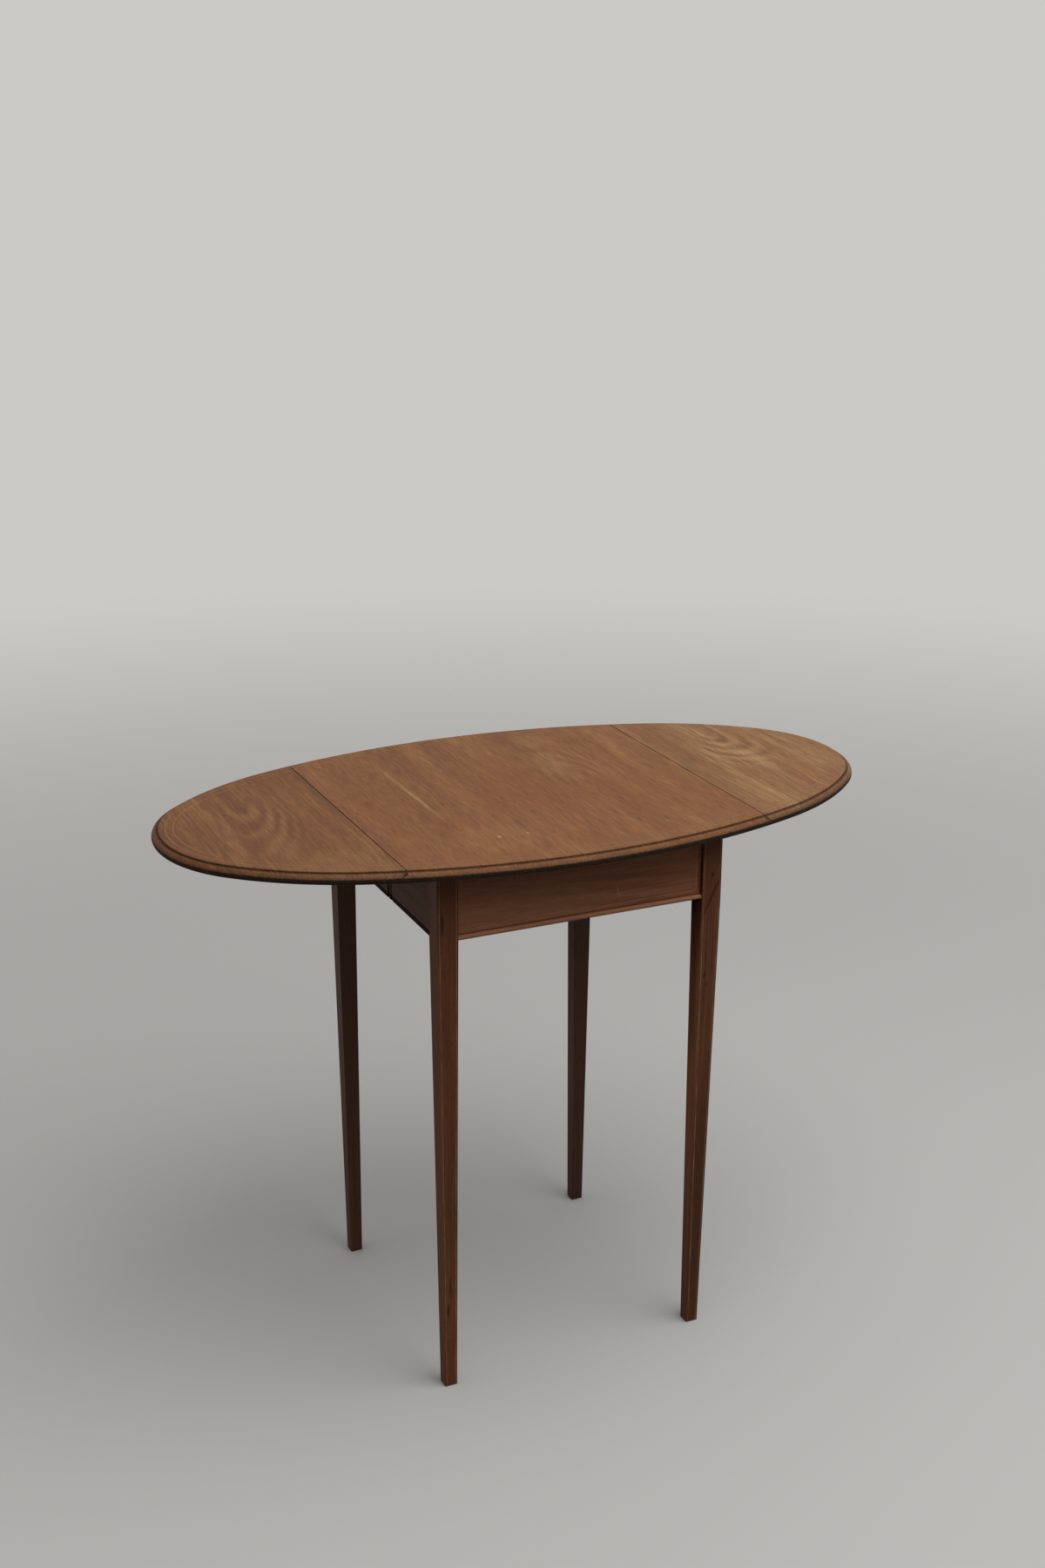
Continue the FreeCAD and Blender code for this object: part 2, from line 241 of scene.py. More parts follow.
def node_material(name: str) -> tuple[Material, Nodes]:
    """Start an empty node material.

    Args:
        name: Name of the real material and finish.

    Returns:
        The material and its nodes.
    """
    material = bpy.data.materials.new(name)
    material.use_nodes = True
    return material, Nodes(material.node_tree)


@dataclass(frozen=True)
class Finish:
    """Finish of a real material."""

    name: str

    def surface(self, nodes: Nodes) -> Inputs:
        """Inputs of the surface shader, which each kind of finish works out."""
        raise NotImplementedError

    def material(self) -> Material:
        """Build the material.

        Returns:
            The finished node material.
        """
        material, nodes = node_material(self.name)
        shader = nodes.add("BsdfPrincipled", self.surface(nodes))
        nodes.add("OutputMaterial", {"Surface": shader.outputs["BSDF"]})
        return material


@dataclass(frozen=True)
class Mark:
    """A stain, knot, dent or scratch, or a spot of painted shade or light: a soft-edged spot of another
    colour.

    Its place and half sizes are in millimetres, its turn in degrees about the three axes.
    """

    place: Point
    half: Point
    colour: str
    strength: float
    turn: Point = (0.0, 0.0, 0.0)

    def mask(self, nodes: Nodes) -> NodeSocket:
        """Show where the mark is.

        Args:
            nodes: Nodes to add to.

        Returns:
            The mark's strength in its middle, falling softly to nothing at its half sizes.
        """
        turn = [math.radians(angle) for angle in self.turn]
        place, half = Vector(self.place) * MM, Vector(self.half) * MM
        inside = nodes.moved(nodes.spot, "TEXTURE", Location=place, Rotation=turn, Scale=half)
        return nodes.span(nodes.length(inside), 1.0, SOFT_CORE, 0.0, self.strength, soft=True)


@dataclass(frozen=True)
class Figure:
    """Arched figure where the growth rings come up through a face.

    The crown is the point where the heart of the rings meets the face. The lean of the heart in
    degrees sets how far the arches are drawn out, and the swing turns them in the face. The
    figure fades towards the reach about its middle. Places and sizes are in millimetres.
    """

    crown: Point
    middle: Point
    reach: Point
    lean: float
    swing: float
    spacing: float
    share: float


@dataclass(frozen=True)
class DirtAndShadeBand:
    """Dark band between two heights for dirt and for painted shade, fading over a soft edge at each, in
    millimetres.
    """

    low: float
    high: float
    low_fade: float
    high_fade: float
    strength: float

    def mask(self, nodes: Nodes) -> NodeSocket:
        """Show where the band lies.

        Args:
            nodes: Nodes to add to.

        Returns:
            The band's strength inside its soft edges.
        """
        height = nodes.axes()["Z"]
        full_low, full_high = (self.low + self.low_fade) * MM, (self.high - self.high_fade) * MM
        over = nodes.span(height, self.low * MM, full_low, 0.0, self.strength, soft=True)
        return nodes.math("MULTIPLY", over, nodes.span(height, self.high * MM, full_high, soft=True))


@dataclass(frozen=True)
class RuleDirt:
    """Dark wax and dirt along both rule joints, up the lip and round the curve, in millimetres."""

    seam: float = 229.2
    radius: float = 7.48
    overlap: float = 0.5
    width: float = 1.1
    strength: float = 0.85

    def mask(self, nodes: Nodes) -> NodeSocket:
        """Show where the dirt lies.

        Args:
            nodes: Nodes to add to.

        Returns:
            The strength on the line of the joint, falling softly to nothing at the width.
        """
        axes = nodes.axes()
        out = nodes.math("SUBTRACT", nodes.math("ABSOLUTE", axes["X"]), self.seam * MM)
        rise = nodes.math("SUBTRACT", axes["Z"], HINGE_AXIS * MM)
        reach = nodes.length(nodes.add("CombineXYZ", {"X": out, "Y": rise}).outputs[0])
        from_curve = nodes.math("SUBTRACT", reach, self.radius * MM)
        on_lip = nodes.math("GREATER_THAN", rise, (self.radius - self.overlap) * MM)
        away = nodes.math("ABSOLUTE", nodes.mixed(on_lip, from_curve, out))
        width = self.width * MM
        line = nodes.span(away, width, SOFT_CORE * width, 0.0, self.strength, soft=True)
        return nodes.math("MULTIPLY", line, nodes.math("GREATER_THAN", out, -width))


@dataclass(frozen=True)
class OpenGrain(Finish):
    """Open-grained wood, waxed or bare: dark pores, fine streaks, red and tan bands and soft figures.

    Marks, dirt and painted shade lie over the wood. Features are measured across, along and into the grain.
    Pores are drawn about four times as wide as real ones so that they show. Flecks are short light and
    dark dashes of interlocked grain, as a share of the brightness.
    """

    dark: str
    body: str
    pale: str
    red: str
    grain: Grain
    streak_share: float = 0.5
    band_share: float = 0.42
    red_share: float = 0.4
    sway: float = 9.0
    pore_depth: float = 0.2
    fleck: float = 0.0
    roughness: Span = (0.56, 0.72)
    sheen: float = 0.3
    dirt_and_shade_layers: tuple[DirtAndShadeBand | RuleDirt, ...] = ()
    figures: tuple[Figure, ...] = ()
    marks: tuple[Mark, ...] = ()
    dirt_and_shade: str = "#110a06"
    dirt_and_shade_roughness: float = 0.95
    thin_span: Span = (0.45, 0.7)
    thin_share: float = 0.86
    drift: Feature = Feature((120.0, 300.0, 120.0), 1.0)
    streak: Feature = Feature((3.0, 190.0, 3.0), 3.0)
    band: Feature = Feature((26.0, 420.0, 26.0), 2.0)
    broad: Feature = Feature((70.0, 260.0, 70.0), 1.0)
    broad_span: Span = (0.42, 0.6)
    pore: Feature = Feature((1.0, 15.0, 1.0), 1.0)
    pore_span: Span = (0.5, 0.66)
    dash: Feature = Feature((2.5, 34.0, 2.5), 2.0)
    ring_distortion: float = 3.0
    ring_detail: float = 2.0
    ring_detail_scale: float = 0.7
    relief_strength: float = 0.3
    relief_depth: float = 0.2

    def surface(self, nodes: Nodes) -> Inputs:
        """Work out the wood with its marks, dirt and painted shade.

        Args:
            nodes: Nodes to add to.

        Returns:
            Inputs of the surface shader.
        """
        lying = nodes.moved(nodes.spot, Rotation=self.grain.value)
        sway = (2 * self.sway * MM, 0.0, 2 * self.sway * MM)
        drifting = {0: nodes.noise(lying, self.drift, "Color"), 1: sway, 2: lying}
        wavy = nodes.add("VectorMath", drifting, operation="MULTIPLY_ADD").outputs[0]
        streaks = nodes.noise(wavy, self.streak)
        pores = nodes.span(nodes.noise(lying, self.pore), *self.pore_span)
        colour = self.wood_colour(nodes, wavy, streaks)
        for mark in self.marks:
            colour = nodes.laid_over(colour, mark.colour, mark.mask(nodes))
        shade = nodes.span(pores, 0.0, 1.0, 1.0, 1.0 - self.pore_depth)
        if self.fleck:
            dashes = nodes.noise(lying, self.dash)
            light = nodes.span(dashes, *NOISE_SPAN, 1.0 - self.fleck, 1.0 + self.fleck)
            shade = nodes.math("MULTIPLY", shade, light)
        colour = nodes.add("VectorMath", {0: colour, "Scale": shade}, operation="SCALE").outputs[0]
        rough = nodes.span(streaks, *NOISE_SPAN, *self.roughness)
        # Dirt and painted shade darken the colour and roughen the surface where they lie.
        if self.dirt_and_shade_layers:
            dirt_and_shade_mask = self.dirt_and_shade_mask(nodes, streaks)
            colour = nodes.laid_over(colour, self.dirt_and_shade, dirt_and_shade_mask)
            rough = nodes.mixed(dirt_and_shade_mask, rough, self.dirt_and_shade_roughness)
        relief = nodes.math("SUBTRACT", streaks, pores)
        normal = nodes.bump(relief, self.relief_strength, self.relief_depth)
        return {"Base Color": colour, "Roughness": rough, "Specular IOR Level": self.sheen, "Normal": normal}

    def wood_colour(self, nodes: Nodes, wavy: NodeSocket, streaks: NodeSocket) -> NodeSocket:
        """Mix streaks, bands and figures into one tone and give it the wood's colours.

        Args:
            nodes: Nodes to add to.
            wavy: Swaying coordinates with the grain along Y.
            streaks: The fine streaks.

        Returns:
            The colour without pores and marks.
        """
        rest = NOISE_MIDDLE * (1 - self.streak_share - self.band_share)
        tone = nodes.math("MULTIPLY_ADD", streaks, self.streak_share, rest)
        tone = nodes.math("MULTIPLY_ADD", nodes.noise(wavy, self.band), self.band_share, tone)
        for figure in self.figures:
            tone = self.figured(nodes, wavy, tone, figure)
        low, high = NOISE_SPAN
        colour = nodes.ramp(tone, (low, self.dark), (NOISE_MIDDLE, self.body), (high, self.pale))
        broad = nodes.noise(wavy, self.broad)
        warm = nodes.span(broad, *self.broad_span, 0.0, self.red_share, soft=True)
        return nodes.laid_over(colour, self.red, warm)

    def figured(self, nodes: Nodes, wavy: NodeSocket, tone: NodeSocket, figure: Figure) -> NodeSocket:
        """Add one figure to the tone.

        Args:
            nodes: Nodes to add to.
            wavy: Swaying coordinates with the grain along Y.
            tone: The tone so far.
            figure: The figure.

        Returns:
            The tone with the figure.
        """
        drift = Vector((self.sway * MM, 0.0, self.sway * MM))
        crown = Euler(self.grain.value).to_matrix() @ (Vector(figure.crown) * MM) + drift
        turn = (math.radians(figure.lean), 0.0, math.radians(figure.swing))
        leant = nodes.moved(nodes.moved(wavy, Location=-crown), Rotation=turn)
        waves = {
            "Vector": leant,
            "Scale": WAVE_PERIOD / (figure.spacing * MM),
            "Distortion": self.ring_distortion,
            "Detail": self.ring_detail,
            "Detail Scale": self.ring_detail_scale,
        }
        rings = nodes.add("TexWave", waves, wave_type="RINGS", rings_direction="Y", wave_profile="SIN")
        level = nodes.math("SUBTRACT", rings.outputs["Fac"], NOISE_MIDDLE)
        mask = Mark(figure.middle, figure.reach, self.body, figure.share).mask(nodes)
        return nodes.math("MULTIPLY_ADD", level, mask, tone)

    def dirt_and_shade_mask(self, nodes: Nodes, streaks: NodeSocket) -> NodeSocket:
        """Put all the dirt and painted shade on the wood together, thinner on some streaks of the grain.

        Args:
            nodes: Nodes to add to.
            streaks: The fine streaks.

        Returns:
            How much of the dark colour of the dirt and painted shade shows.
        """
        whole, *others = [dirt_and_shade.mask(nodes) for dirt_and_shade in self.dirt_and_shade_layers]
        for mask in others:
            whole = nodes.math("MAXIMUM", whole, mask)
        return nodes.math("MULTIPLY", whole, nodes.span(streaks, *self.thin_span, 1.0, self.thin_share))


@dataclass(frozen=True)
class Boxwood(Finish):
    """Boxwood stringing under old wax: close-grained and pale, toned down to honey and specked with dirt."""

    clean: str
    dirty: str
    patch: Feature = Feature((24.0, 24.0, 24.0), 3.0)
    patch_span: Span = (0.34, 0.62)
    roughness: float = 0.6
    sheen: float = 0.3

    def surface(self, nodes: Nodes) -> Inputs:
        """Work out the wood.

        Args:
            nodes: Nodes to add to.

        Returns:
            Inputs of the surface shader.
        """
        low, high = self.patch_span
        colour = nodes.ramp(nodes.noise(nodes.spot, self.patch), (low, self.dirty), (high, self.clean))
        return {"Base Color": colour, "Roughness": self.roughness, "Specular IOR Level": self.sheen}


@dataclass(frozen=True)
class OldMetal(Finish):
    """Old metal whose polish has gone: bright where rubbed, brown or grey where tarnished."""

    bright: str
    tarnish: str
    patch_size: float
    roughness: Span
    patch_detail: float = 5.0
    patch_roughness: float = 0.62
    patch_span: Span = (0.36, 0.66)
    dull_span: Span = (0.35, 0.65)
    scratch: Feature = Feature((0.6, 6.0, 0.6), 2.0)
    scratch_strength: float = 0.2
    scratch_depth: float = 0.08

    def surface(self, nodes: Nodes) -> Inputs:
        """Work out the metal.

        Args:
            nodes: Nodes to add to.

        Returns:
            Inputs of the surface shader.
        """
        spread = {"Vector": nodes.spot, "Scale": 1 / (self.patch_size * MM)}
        texture = {"Detail": self.patch_detail, "Roughness": self.patch_roughness}
        patches = nodes.add("TexNoise", {**spread, **texture}).outputs["Fac"]
        low, high = self.patch_span
        scratches = nodes.noise(nodes.spot, self.scratch)
        return {
            "Base Color": nodes.ramp(patches, (low, self.tarnish), (high, self.bright)),
            "Roughness": nodes.span(patches, *self.dull_span, *reversed(self.roughness)),
            "Metallic": 1.0,
            "Normal": nodes.bump(scratches, self.scratch_strength, self.scratch_depth),
        }


def as_mesh(bm: BMesh, name: str) -> Mesh:
    """Write a mesh to Blender's data and free it.

    Args:
        bm: The mesh.
        name: Name of its data.

    Returns:
        The data.
    """
    mesh = bpy.data.meshes.new(name)
    bm.to_mesh(mesh)
    bm.free()
    return mesh


def placed(name: str, data: Any) -> Object:
    """Put a mesh, lamp or camera into the scene.

    Args:
        name: Name of the object.
        data: What it holds.

    Returns:
        The new object.
    """
    thing = bpy.data.objects.new(name, data)
    bpy.context.scene.collection.objects.link(thing)
    return thing


def box(low: Point, high: Point) -> BMesh:
    """Make a box.

    Args:
        low: Its lowest corner in millimetres.
        high: Its highest corner.

    Returns:
        The box.
    """
    bm = bmesh.new()
    bmesh.ops.create_cube(bm, size=1.0)
    bmesh.ops.scale(bm, vec=Vector(high) - Vector(low), verts=bm.verts)
    bmesh.ops.translate(bm, vec=(Vector(high) + Vector(low)) / 2, verts=bm.verts)
    return bm


def new_verts(raised: dict[str, list]) -> list[BMVert]:
    """Corners that an extrusion has made."""
    return [item for item in raised["geom"] if isinstance(item, BMVert)]


def closed(bm: BMesh) -> BMesh:
    """Fill the openings of a mesh and turn its faces outwards.

    Args:
        bm: The mesh.

    Returns:
        The same mesh.
    """
    bmesh.ops.holes_fill(bm, edges=[edge for edge in bm.edges if edge.is_boundary], sides=0)
    bmesh.ops.recalc_face_normals(bm, faces=bm.faces)
    return bm


def rounded(bm: BMesh, edges: Iterable[BMEdge], radius: float, segments: int = 2) -> None:
    """Round some edges of a mesh.

    Args:
        bm: The mesh.
        edges: Edges to round.
        radius: Size of the rounding in millimetres.
        segments: Number of facets across it.
    """
    bmesh.ops.bevel(
        bm, geom=list(edges), offset=radius, offset_type="OFFSET", segments=segments, profile=0.5,
        affect="EDGES", clamp_overlap=True, material=-1,
    )


def joined(parts: Iterable[BMesh]) -> BMesh:
    """Put several meshes into one and free them.

    Args:
        parts: The meshes.

    Returns:
        The mesh with all of them.
    """
    whole = bmesh.new()
    for part in parts:
        carrier = as_mesh(part, "carrier")
        whole.from_mesh(carrier)
        bpy.data.meshes.remove(carrier)
    return whole


def mirrored(bm: BMesh, hand: Hand, row: Row = Row.BACK) -> BMesh:
    """Move a right back piece to another corner by mirroring it.

    Args:
        bm: The piece.
        hand: Side that it goes to.
        row: Row that it goes to.

    Returns:
        The same mesh, mirrored, with its faces outwards.
    """
    bmesh.ops.scale(bm, vec=(hand.value, row.value, 1), verts=bm.verts)
    bmesh.ops.recalc_face_normals(bm, faces=bm.faces)
    return bm


def carved(bm: BMesh, tool: BMesh, carve: Carve) -> BMesh:
    """Cut a mesh with another one.

    Args:
        bm: The mesh to cut. It is freed.
        tool: The cutting shape. It is freed.
        carve: What the tool does.

    Returns:
        The cut mesh.
    """
    work, cutter = (placed("bench", as_mesh(part, "bench")) for part in (bm, tool))
    boolean = work.modifiers.new("cut", "BOOLEAN")
    boolean.operation = carve.value
    boolean.solver = "EXACT"
    boolean.object = cutter
    made = work.evaluated_get(bpy.context.evaluated_depsgraph_get())
    result = bmesh.new()
    result.from_mesh(made.to_mesh())
    made.to_mesh_clear()
    for done in (work, cutter):
        mesh = done.data
        bpy.data.objects.remove(done)
        bpy.data.meshes.remove(mesh)
    bmesh.ops.remove_doubles(result, verts=result.verts, dist=CUT_WELD)
    bmesh.ops.dissolve_degenerate(result, edges=result.edges, dist=CUT_WELD)
    return result


def softened(node: str, radius: float) -> BMesh:
    """Copy a node of the frame and ease its sharp edges.

    Args:
        node: Name of the node.
        radius: Size of the eased edge in millimetres.

    Returns:
        The eased copy in millimetres.
    """
    bm = bmesh.new()
    bm.from_mesh(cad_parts[node].data)
    bmesh.ops.scale(bm, vec=(1 / MM,) * 3, verts=bm.verts)
    bmesh.ops.remove_doubles(bm, verts=bm.verts, dist=WELD)
    bmesh.ops.dissolve_limit(bm, angle_limit=FLAT_ANGLE, verts=bm.verts, edges=bm.edges)
    rounded(bm, [e for e in bm.edges if e.is_manifold and e.calc_face_angle() > SHARP_ANGLE], radius)
    return bm


def finished(name: str, bm: BMesh, material: Material, body: str, slot: str, *stands_for: str) -> None:
    """Write a mesh to the scene as a piece of the table.

    Args:
        name: Name of the piece.
        bm: Its mesh in millimetres. It is freed.
        material: Its finish.
        body: Body that it rides on.
        slot: Its material slot in the record; not used.
        *stands_for: Nodes of the frame that it replaces.
    """
    bmesh.ops.scale(bm, vec=(MM,) * 3, verts=bm.verts)
    mesh = as_mesh(bm, name)
    mesh.polygons.foreach_set("use_smooth", [True] * len(mesh.polygons))
    mesh.set_sharp_from_angle(angle=CREASE_ANGLE)
    mesh.materials.append(material)
    piece = placed(name, mesh)
    even = piece.modifiers.new("even_shading", "WEIGHTED_NORMAL")
    even.keep_sharp = True
    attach(piece, body)
    if stands_for:
        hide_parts(*stands_for)
    log.info("%s rides on %s, %d faces", name, body, len(mesh.polygons))


def dress(node: str, material: Material) -> None:
    """Give a node of the frame its finish.

    Args:
        node: Name of the node.
        material: The finish.
    """
    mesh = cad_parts[node].data
    mesh.materials.clear()
    mesh.materials.append(material)
    log.info("%s keeps its solid and is dressed in %s", node, material.name)


@dataclass(frozen=True)
class Arc:
    """Stretch of the oval about one centre, from one angle to another in degrees."""

    x: float
    y: float
    radius: float
    first: float
    last: float

    def over_x(self) -> "Arc":
        """The same stretch on the other side of the short axis."""
        return Arc(-self.x, self.y, self.radius, 180 - self.last, 180 - self.first)

    def over_y(self) -> "Arc":
        """The same stretch on the other side of the long axis."""
        return Arc(self.x, -self.y, self.radius, -self.last, -self.first)


@dataclass(frozen=True)
class Oval:
    """Outline of the top, drawn with three radii: ends, shoulders and long sides."""

    half_length: float = 457.0
    half_depth: float = 245.0
    end_share: float = 1.22
    side_share: float = 0.96
    end_turn: float = 46.0
    facet: float = 5.0
    least_facets: int = 4

    def arcs(self) -> list[Arc]:
        """Work out the eight stretches.

        Returns:
            Ends, sides and shoulders all round.
        """
        end_radius = self.end_share * self.half_depth**2 / self.half_length
        side_radius = self.side_share * self.half_length**2 / self.half_depth
        end = Vector((self.half_length - end_radius, 0.0))
        side = Vector((0.0, self.half_depth - side_radius))
        outward = Vector((math.cos(math.radians(self.end_turn)), math.sin(math.radians(self.end_turn))))
        apart = end - side
        excess = side_radius - end_radius
        growth = (excess**2 - apart.length_squared) / (2 * (excess - apart.dot(outward)))
        shoulder = end - outward * growth
        turn = math.degrees(math.atan2(shoulder.y - side.y, shoulder.x))
        tip = Arc(end.x, end.y, end_radius, -self.end_turn, self.end_turn)
        bend = Arc(shoulder.x, shoulder.y, end_radius + growth, self.end_turn, turn)
        flank = Arc(side.x, side.y, side_radius, turn, 180 - turn)
        bends = [bend, bend.over_x(), bend.over_y(), bend.over_x().over_y()]
        return [tip, tip.over_x(), flank, flank.over_y(), *bends]

    def sweep(self, section: Profile) -> BMesh:
        """Run a section round the oval.

        Args:
            section: Corners as inset from the edge and height, in millimetres.

        Returns:
            The swept mesh, with its inner openings filled where the section is open.
        """
        bm = bmesh.new()
        for arc in self.arcs():
            first, turn = math.radians(arc.first), math.radians(arc.last - arc.first)
            across, along = math.cos(first), math.sin(first)
            out = [(arc.radius - inset, z) for inset, z in section]
            verts = [bm.verts.new((arc.x + r * across, arc.y + r * along, z)) for r, z in out]
            edges = [bm.edges.new(ends) for ends in zip(verts, verts[1:])]
            steps = max(self.least_facets, round(arc.radius * turn / self.facet))
            about = {"cent": (arc.x, arc.y, 0), "axis": (0, 0, 1), "dvec": (0, 0, 0)}
            bmesh.ops.spin(bm, geom=verts + edges, angle=turn, steps=steps, **about)
        bmesh.ops.remove_doubles(bm, verts=bm.verts, dist=WELD)
        return closed(bm)


@dataclass(frozen=True)
class Screw:
    """Slotted countersunk screw head."""

    radius: float = 3.2
    taper: float = 0.9
    height: float = 0.6
    slot_width: float = 0.9
    slot_depth: float = 0.45
    proud: float = 0.12
    facets: int = 28

    def head(self) -> BMesh:
        """Make one head that faces up, with the surface that it is let into at zero.

        Returns:
            The head, standing a hair proud of the surface.
        """
        bm = bmesh.new()
        cone = {"radius1": self.radius * self.taper, "radius2": self.radius, "depth": self.height}
        bmesh.ops.create_cone(bm, cap_ends=True, segments=self.facets, **cone)
        half = self.height / 2
        rounded(bm, [e for e in bm.edges if all(v.co.z > 0 for v in e.verts)], self.proud)
        far, side = 2 * self.radius, self.slot_width / 2
        slot = box((-far, -side, half - self.slot_depth), (far, side, 2 * half))
        bm = carved(bm, slot, Carve.TAKE_AWAY)
        bmesh.ops.translate(bm, vec=(0, 0, self.proud - half), verts=bm.verts)
        return bm

    def heads(self, places: Iterable[tuple[Point, Point, float]]) -> BMesh:
        """Set heads at several places.

        Args:
            places: For each head its place, the way it faces and the turn of its slot in degrees.

        Returns:
            One mesh with all of them.
        """
        first = self.head()
        copies = []
        for place, facing, turn in places:
            aim = Vector(facing).to_track_quat("Z", "Y").to_matrix().to_4x4()
            spun = Matrix.Rotation(math.radians(turn), 4, "Z")
            copies.append(first.copy())
            copies[-1].transform(Matrix.Translation(place) @ aim @ spun)
        first.free()
        return joined(copies)


@dataclass
class OvalTop:
    """Centre board and two leaves with rule joints, moulded edge, stringing and table hinges.

    Screws are placed from a hinge's middle, away from the frame and along the hinge line. Their slots
    turn by so many degrees from screw to screw, for each millimetre along the line and for each side.
    """

    oval: Oval = Oval()
    lower_round: float = 4.5
    ovolo_radius: float = 7.0
    quirk_height: float = 2.2
    quirk_inset: float = 8.0
    arris: float = 0.7
    arris_facets: int = 3
    arris_step: int = 3
    string_insets: tuple[float, ...] = (15.7, 25.0)
    string_width: float = 1.2
    string_depth: float = 1.0
    string_fit: float = 0.04
    string_proud: float = 0.03
    core_inset: float = 34.0
    rule_radius: float = 7.3
    rule_clearance: float = 0.35
    seam_gap: float = 0.4
    curve_facets: int = 10
    hinge_places: tuple[float, ...] = (-120.0, 120.0)
    hinge_width: float = 38.0
    hinge_ease: float = 0.25
    short_plate: float = 30.0
    long_plate: float = 45.0
    plate_bottom: float = 686.2
    plate_top: float = 688.2
    knuckle_radius: float = 2.5
    knuckle_gap: float = 0.4
    short_screws: tuple[Span, ...] = ((-17.0, -11.0), (-17.0, 11.0))
    long_screws: tuple[Span, ...] = ((20.0, -11.0), (20.0, 11.0), (37.0, 0.0))
    slot_turns: Point = (37.0, 0.21, 23.0)
    fit: float = 0.3
    margin: float = 20.0

    def edge_section(self) -> Profile:
        """Section of the edge: rounded below, ovolo, quirk, string grooves.

        Returns:
            Corners from the inner underside out and over to the inner top.
        """
        quarter = [math.pi / 2 * i / self.curve_facets for i in range(self.curve_facets + 1)]
        low, ovolo, arris, quirk = self.lower_round, self.ovolo_radius, self.arris, self.quirk_inset
        shoulder = SURFACE - self.quirk_height
        floor = SURFACE - self.string_depth
        section: Profile = [(self.core_inset, UNDERSIDE)]
        section += [(low * (1 - math.sin(a)), UNDERSIDE + low * (1 - math.cos(a))) for a in quarter]
        section += [(ovolo * (1 - math.cos(a)), shoulder - ovolo + ovolo * math.sin(a)) for a in quarter]
        section += [(quirk, shoulder)]
        few = quarter[:: self.arris_step]
        section += [(quirk + arris * (1 - math.cos(a)), SURFACE - arris * (1 - math.sin(a))) for a in few]
        section += [(quirk + arris, SURFACE)]
        for near in self.string_insets:
            far = near + self.string_width
            section += [(near, SURFACE), (near, floor), (far, floor), (far, SURFACE)]
        return section + [(self.core_inset, SURFACE)]

    def rule_line(self, radius: float, gap: float, arris: float) -> Profile:
        """Line of one side of the right-hand rule joint, from above the top to below it.

        Args:
            radius: Radius of the curve about the hinge axis.
            gap: Distance of the upright lip from the hinge line.
            arris: Rounding of the lip's arris, negative on the centre board's side.

        Returns:
            Corners as X and Z.
        """
        lip = HINGE_LINE + gap
        line: Profile = [(lip + arris, SURFACE + self.margin)]
        for i in range(self.arris_facets + 1):
            angle = math.pi / 2 * i / self.arris_facets
            line.append((lip + arris * (1 - math.sin(angle)), SURFACE - abs(arris) * (1 - math.cos(angle))))
        first = math.acos(gap / radius)
        last = -math.asin((HINGE_AXIS - UNDERSIDE) / radius)
        for i in range(self.curve_facets + 1):
            angle = first + (last - first) * i / self.curve_facets
            line.append((HINGE_LINE + radius * math.cos(angle), HINGE_AXIS + radius * math.sin(angle)))
        return line + [(line[-1][0], UNDERSIDE - self.margin)]

    def board(self, outline: Profile) -> BMesh:
        """Cut the moulded oval to an outline seen from the front.

        Args:
            outline: Corners as X and Z in order.

        Returns:
            The part of the oval inside the outline.
        """
        reach = self.oval.half_depth + self.margin
        space = bmesh.new()
        face = space.faces.new([space.verts.new((x, -reach, z)) for x, z in outline])
        raised = bmesh.ops.extrude_face_region(space, geom=[face], use_keep_orig=True)
        bmesh.ops.translate(space, vec=(0, 2 * reach, 0), verts=new_verts(raised))
        bmesh.ops.recalc_face_normals(space, faces=space.faces)
        return carved(self.oval.sweep(self.edge_section()), space, Carve.KEEP_INSIDE)

    def recess(self, y: float, near: float, far: float, half: float, roof: float) -> BMesh:
        """Space of a housing under the right half of the top, from near to far beyond the hinge line."""
        low = (HINGE_LINE + near, y - half, UNDERSIDE - self.margin)
        return box(low, (HINGE_LINE + far, y + half, roof))

    def centre_board(self) -> BMesh:
        """Make the centre board with both rule joints and the hinge housings.

        Returns:
            Its mesh.
        """
        line = self.rule_line(self.rule_radius, 0.0, -self.arris)
        board = self.board(line + [(-x, z) for x, z in reversed(line)])
        half, wide = self.hinge_width / 2, self.hinge_width / 2 + self.fit
        reach = self.knuckle_radius + self.knuckle_gap
        seat = (-self.short_plate, 0.0, half, self.plate_top)
        trench = (-reach, reach, wide, HINGE_AXIS + self.knuckle_radius + self.fit)
        passage = (0.0, self.margin, wide, self.plate_top + self.fit)
        for hand in Hand:
            for y in self.hinge_places:
                for housing in (seat, trench, passage):
                    board = carved(board, mirrored(self.recess(y, *housing), hand), Carve.TAKE_AWAY)
        return board

    def leaf(self, hand: Hand) -> BMesh:
        """Make one leaf with its cove and hinge housings.

        Args:
            hand: Its side.

        Returns:
            Its mesh.
        """
        line = self.rule_line(self.rule_radius + self.rule_clearance, self.seam_gap, self.arris)
        far = self.oval.half_length + self.margin
        board = self.board(line + [(far, line[-1][1]), (far, line[0][1])])
        for y in self.hinge_places:
            seat = self.recess(y, 0.0, self.long_plate, self.hinge_width / 2, self.plate_top)
            board = carved(board, seat, Carve.TAKE_AWAY)
        return mirrored(board, hand)

    def strings(self, low_x: float, high_x: float) -> BMesh:
        """Make the lines of stringing between two upright planes across the top.

        Args:
            low_x: Left plane.
            high_x: Right plane.

        Returns:
            Their mesh, a hair proud of the top as old inlay stands.
        """
        low, high = SURFACE - self.string_depth + self.string_fit, SURFACE + self.string_proud
        rings = []
        for inset in self.string_insets:
            near, far = inset + self.string_fit, inset + self.string_width - self.string_fit
            rings.append(self.oval.sweep([(near, low), (near, high), (far, high), (far, low), (near, low)]))
        whole = joined(rings)
        for x, side in ((low_x, -1), (high_x, 1)):
            geom = [*whole.verts, *whole.edges, *whole.faces]
            plane = {"plane_co": (x, 0, 0), "plane_no": (side, 0, 0)}
            bmesh.ops.bisect_plane(whole, geom=geom, dist=PLANE_WELD, clear_outer=True, **plane)
            closed(whole)
        return whole

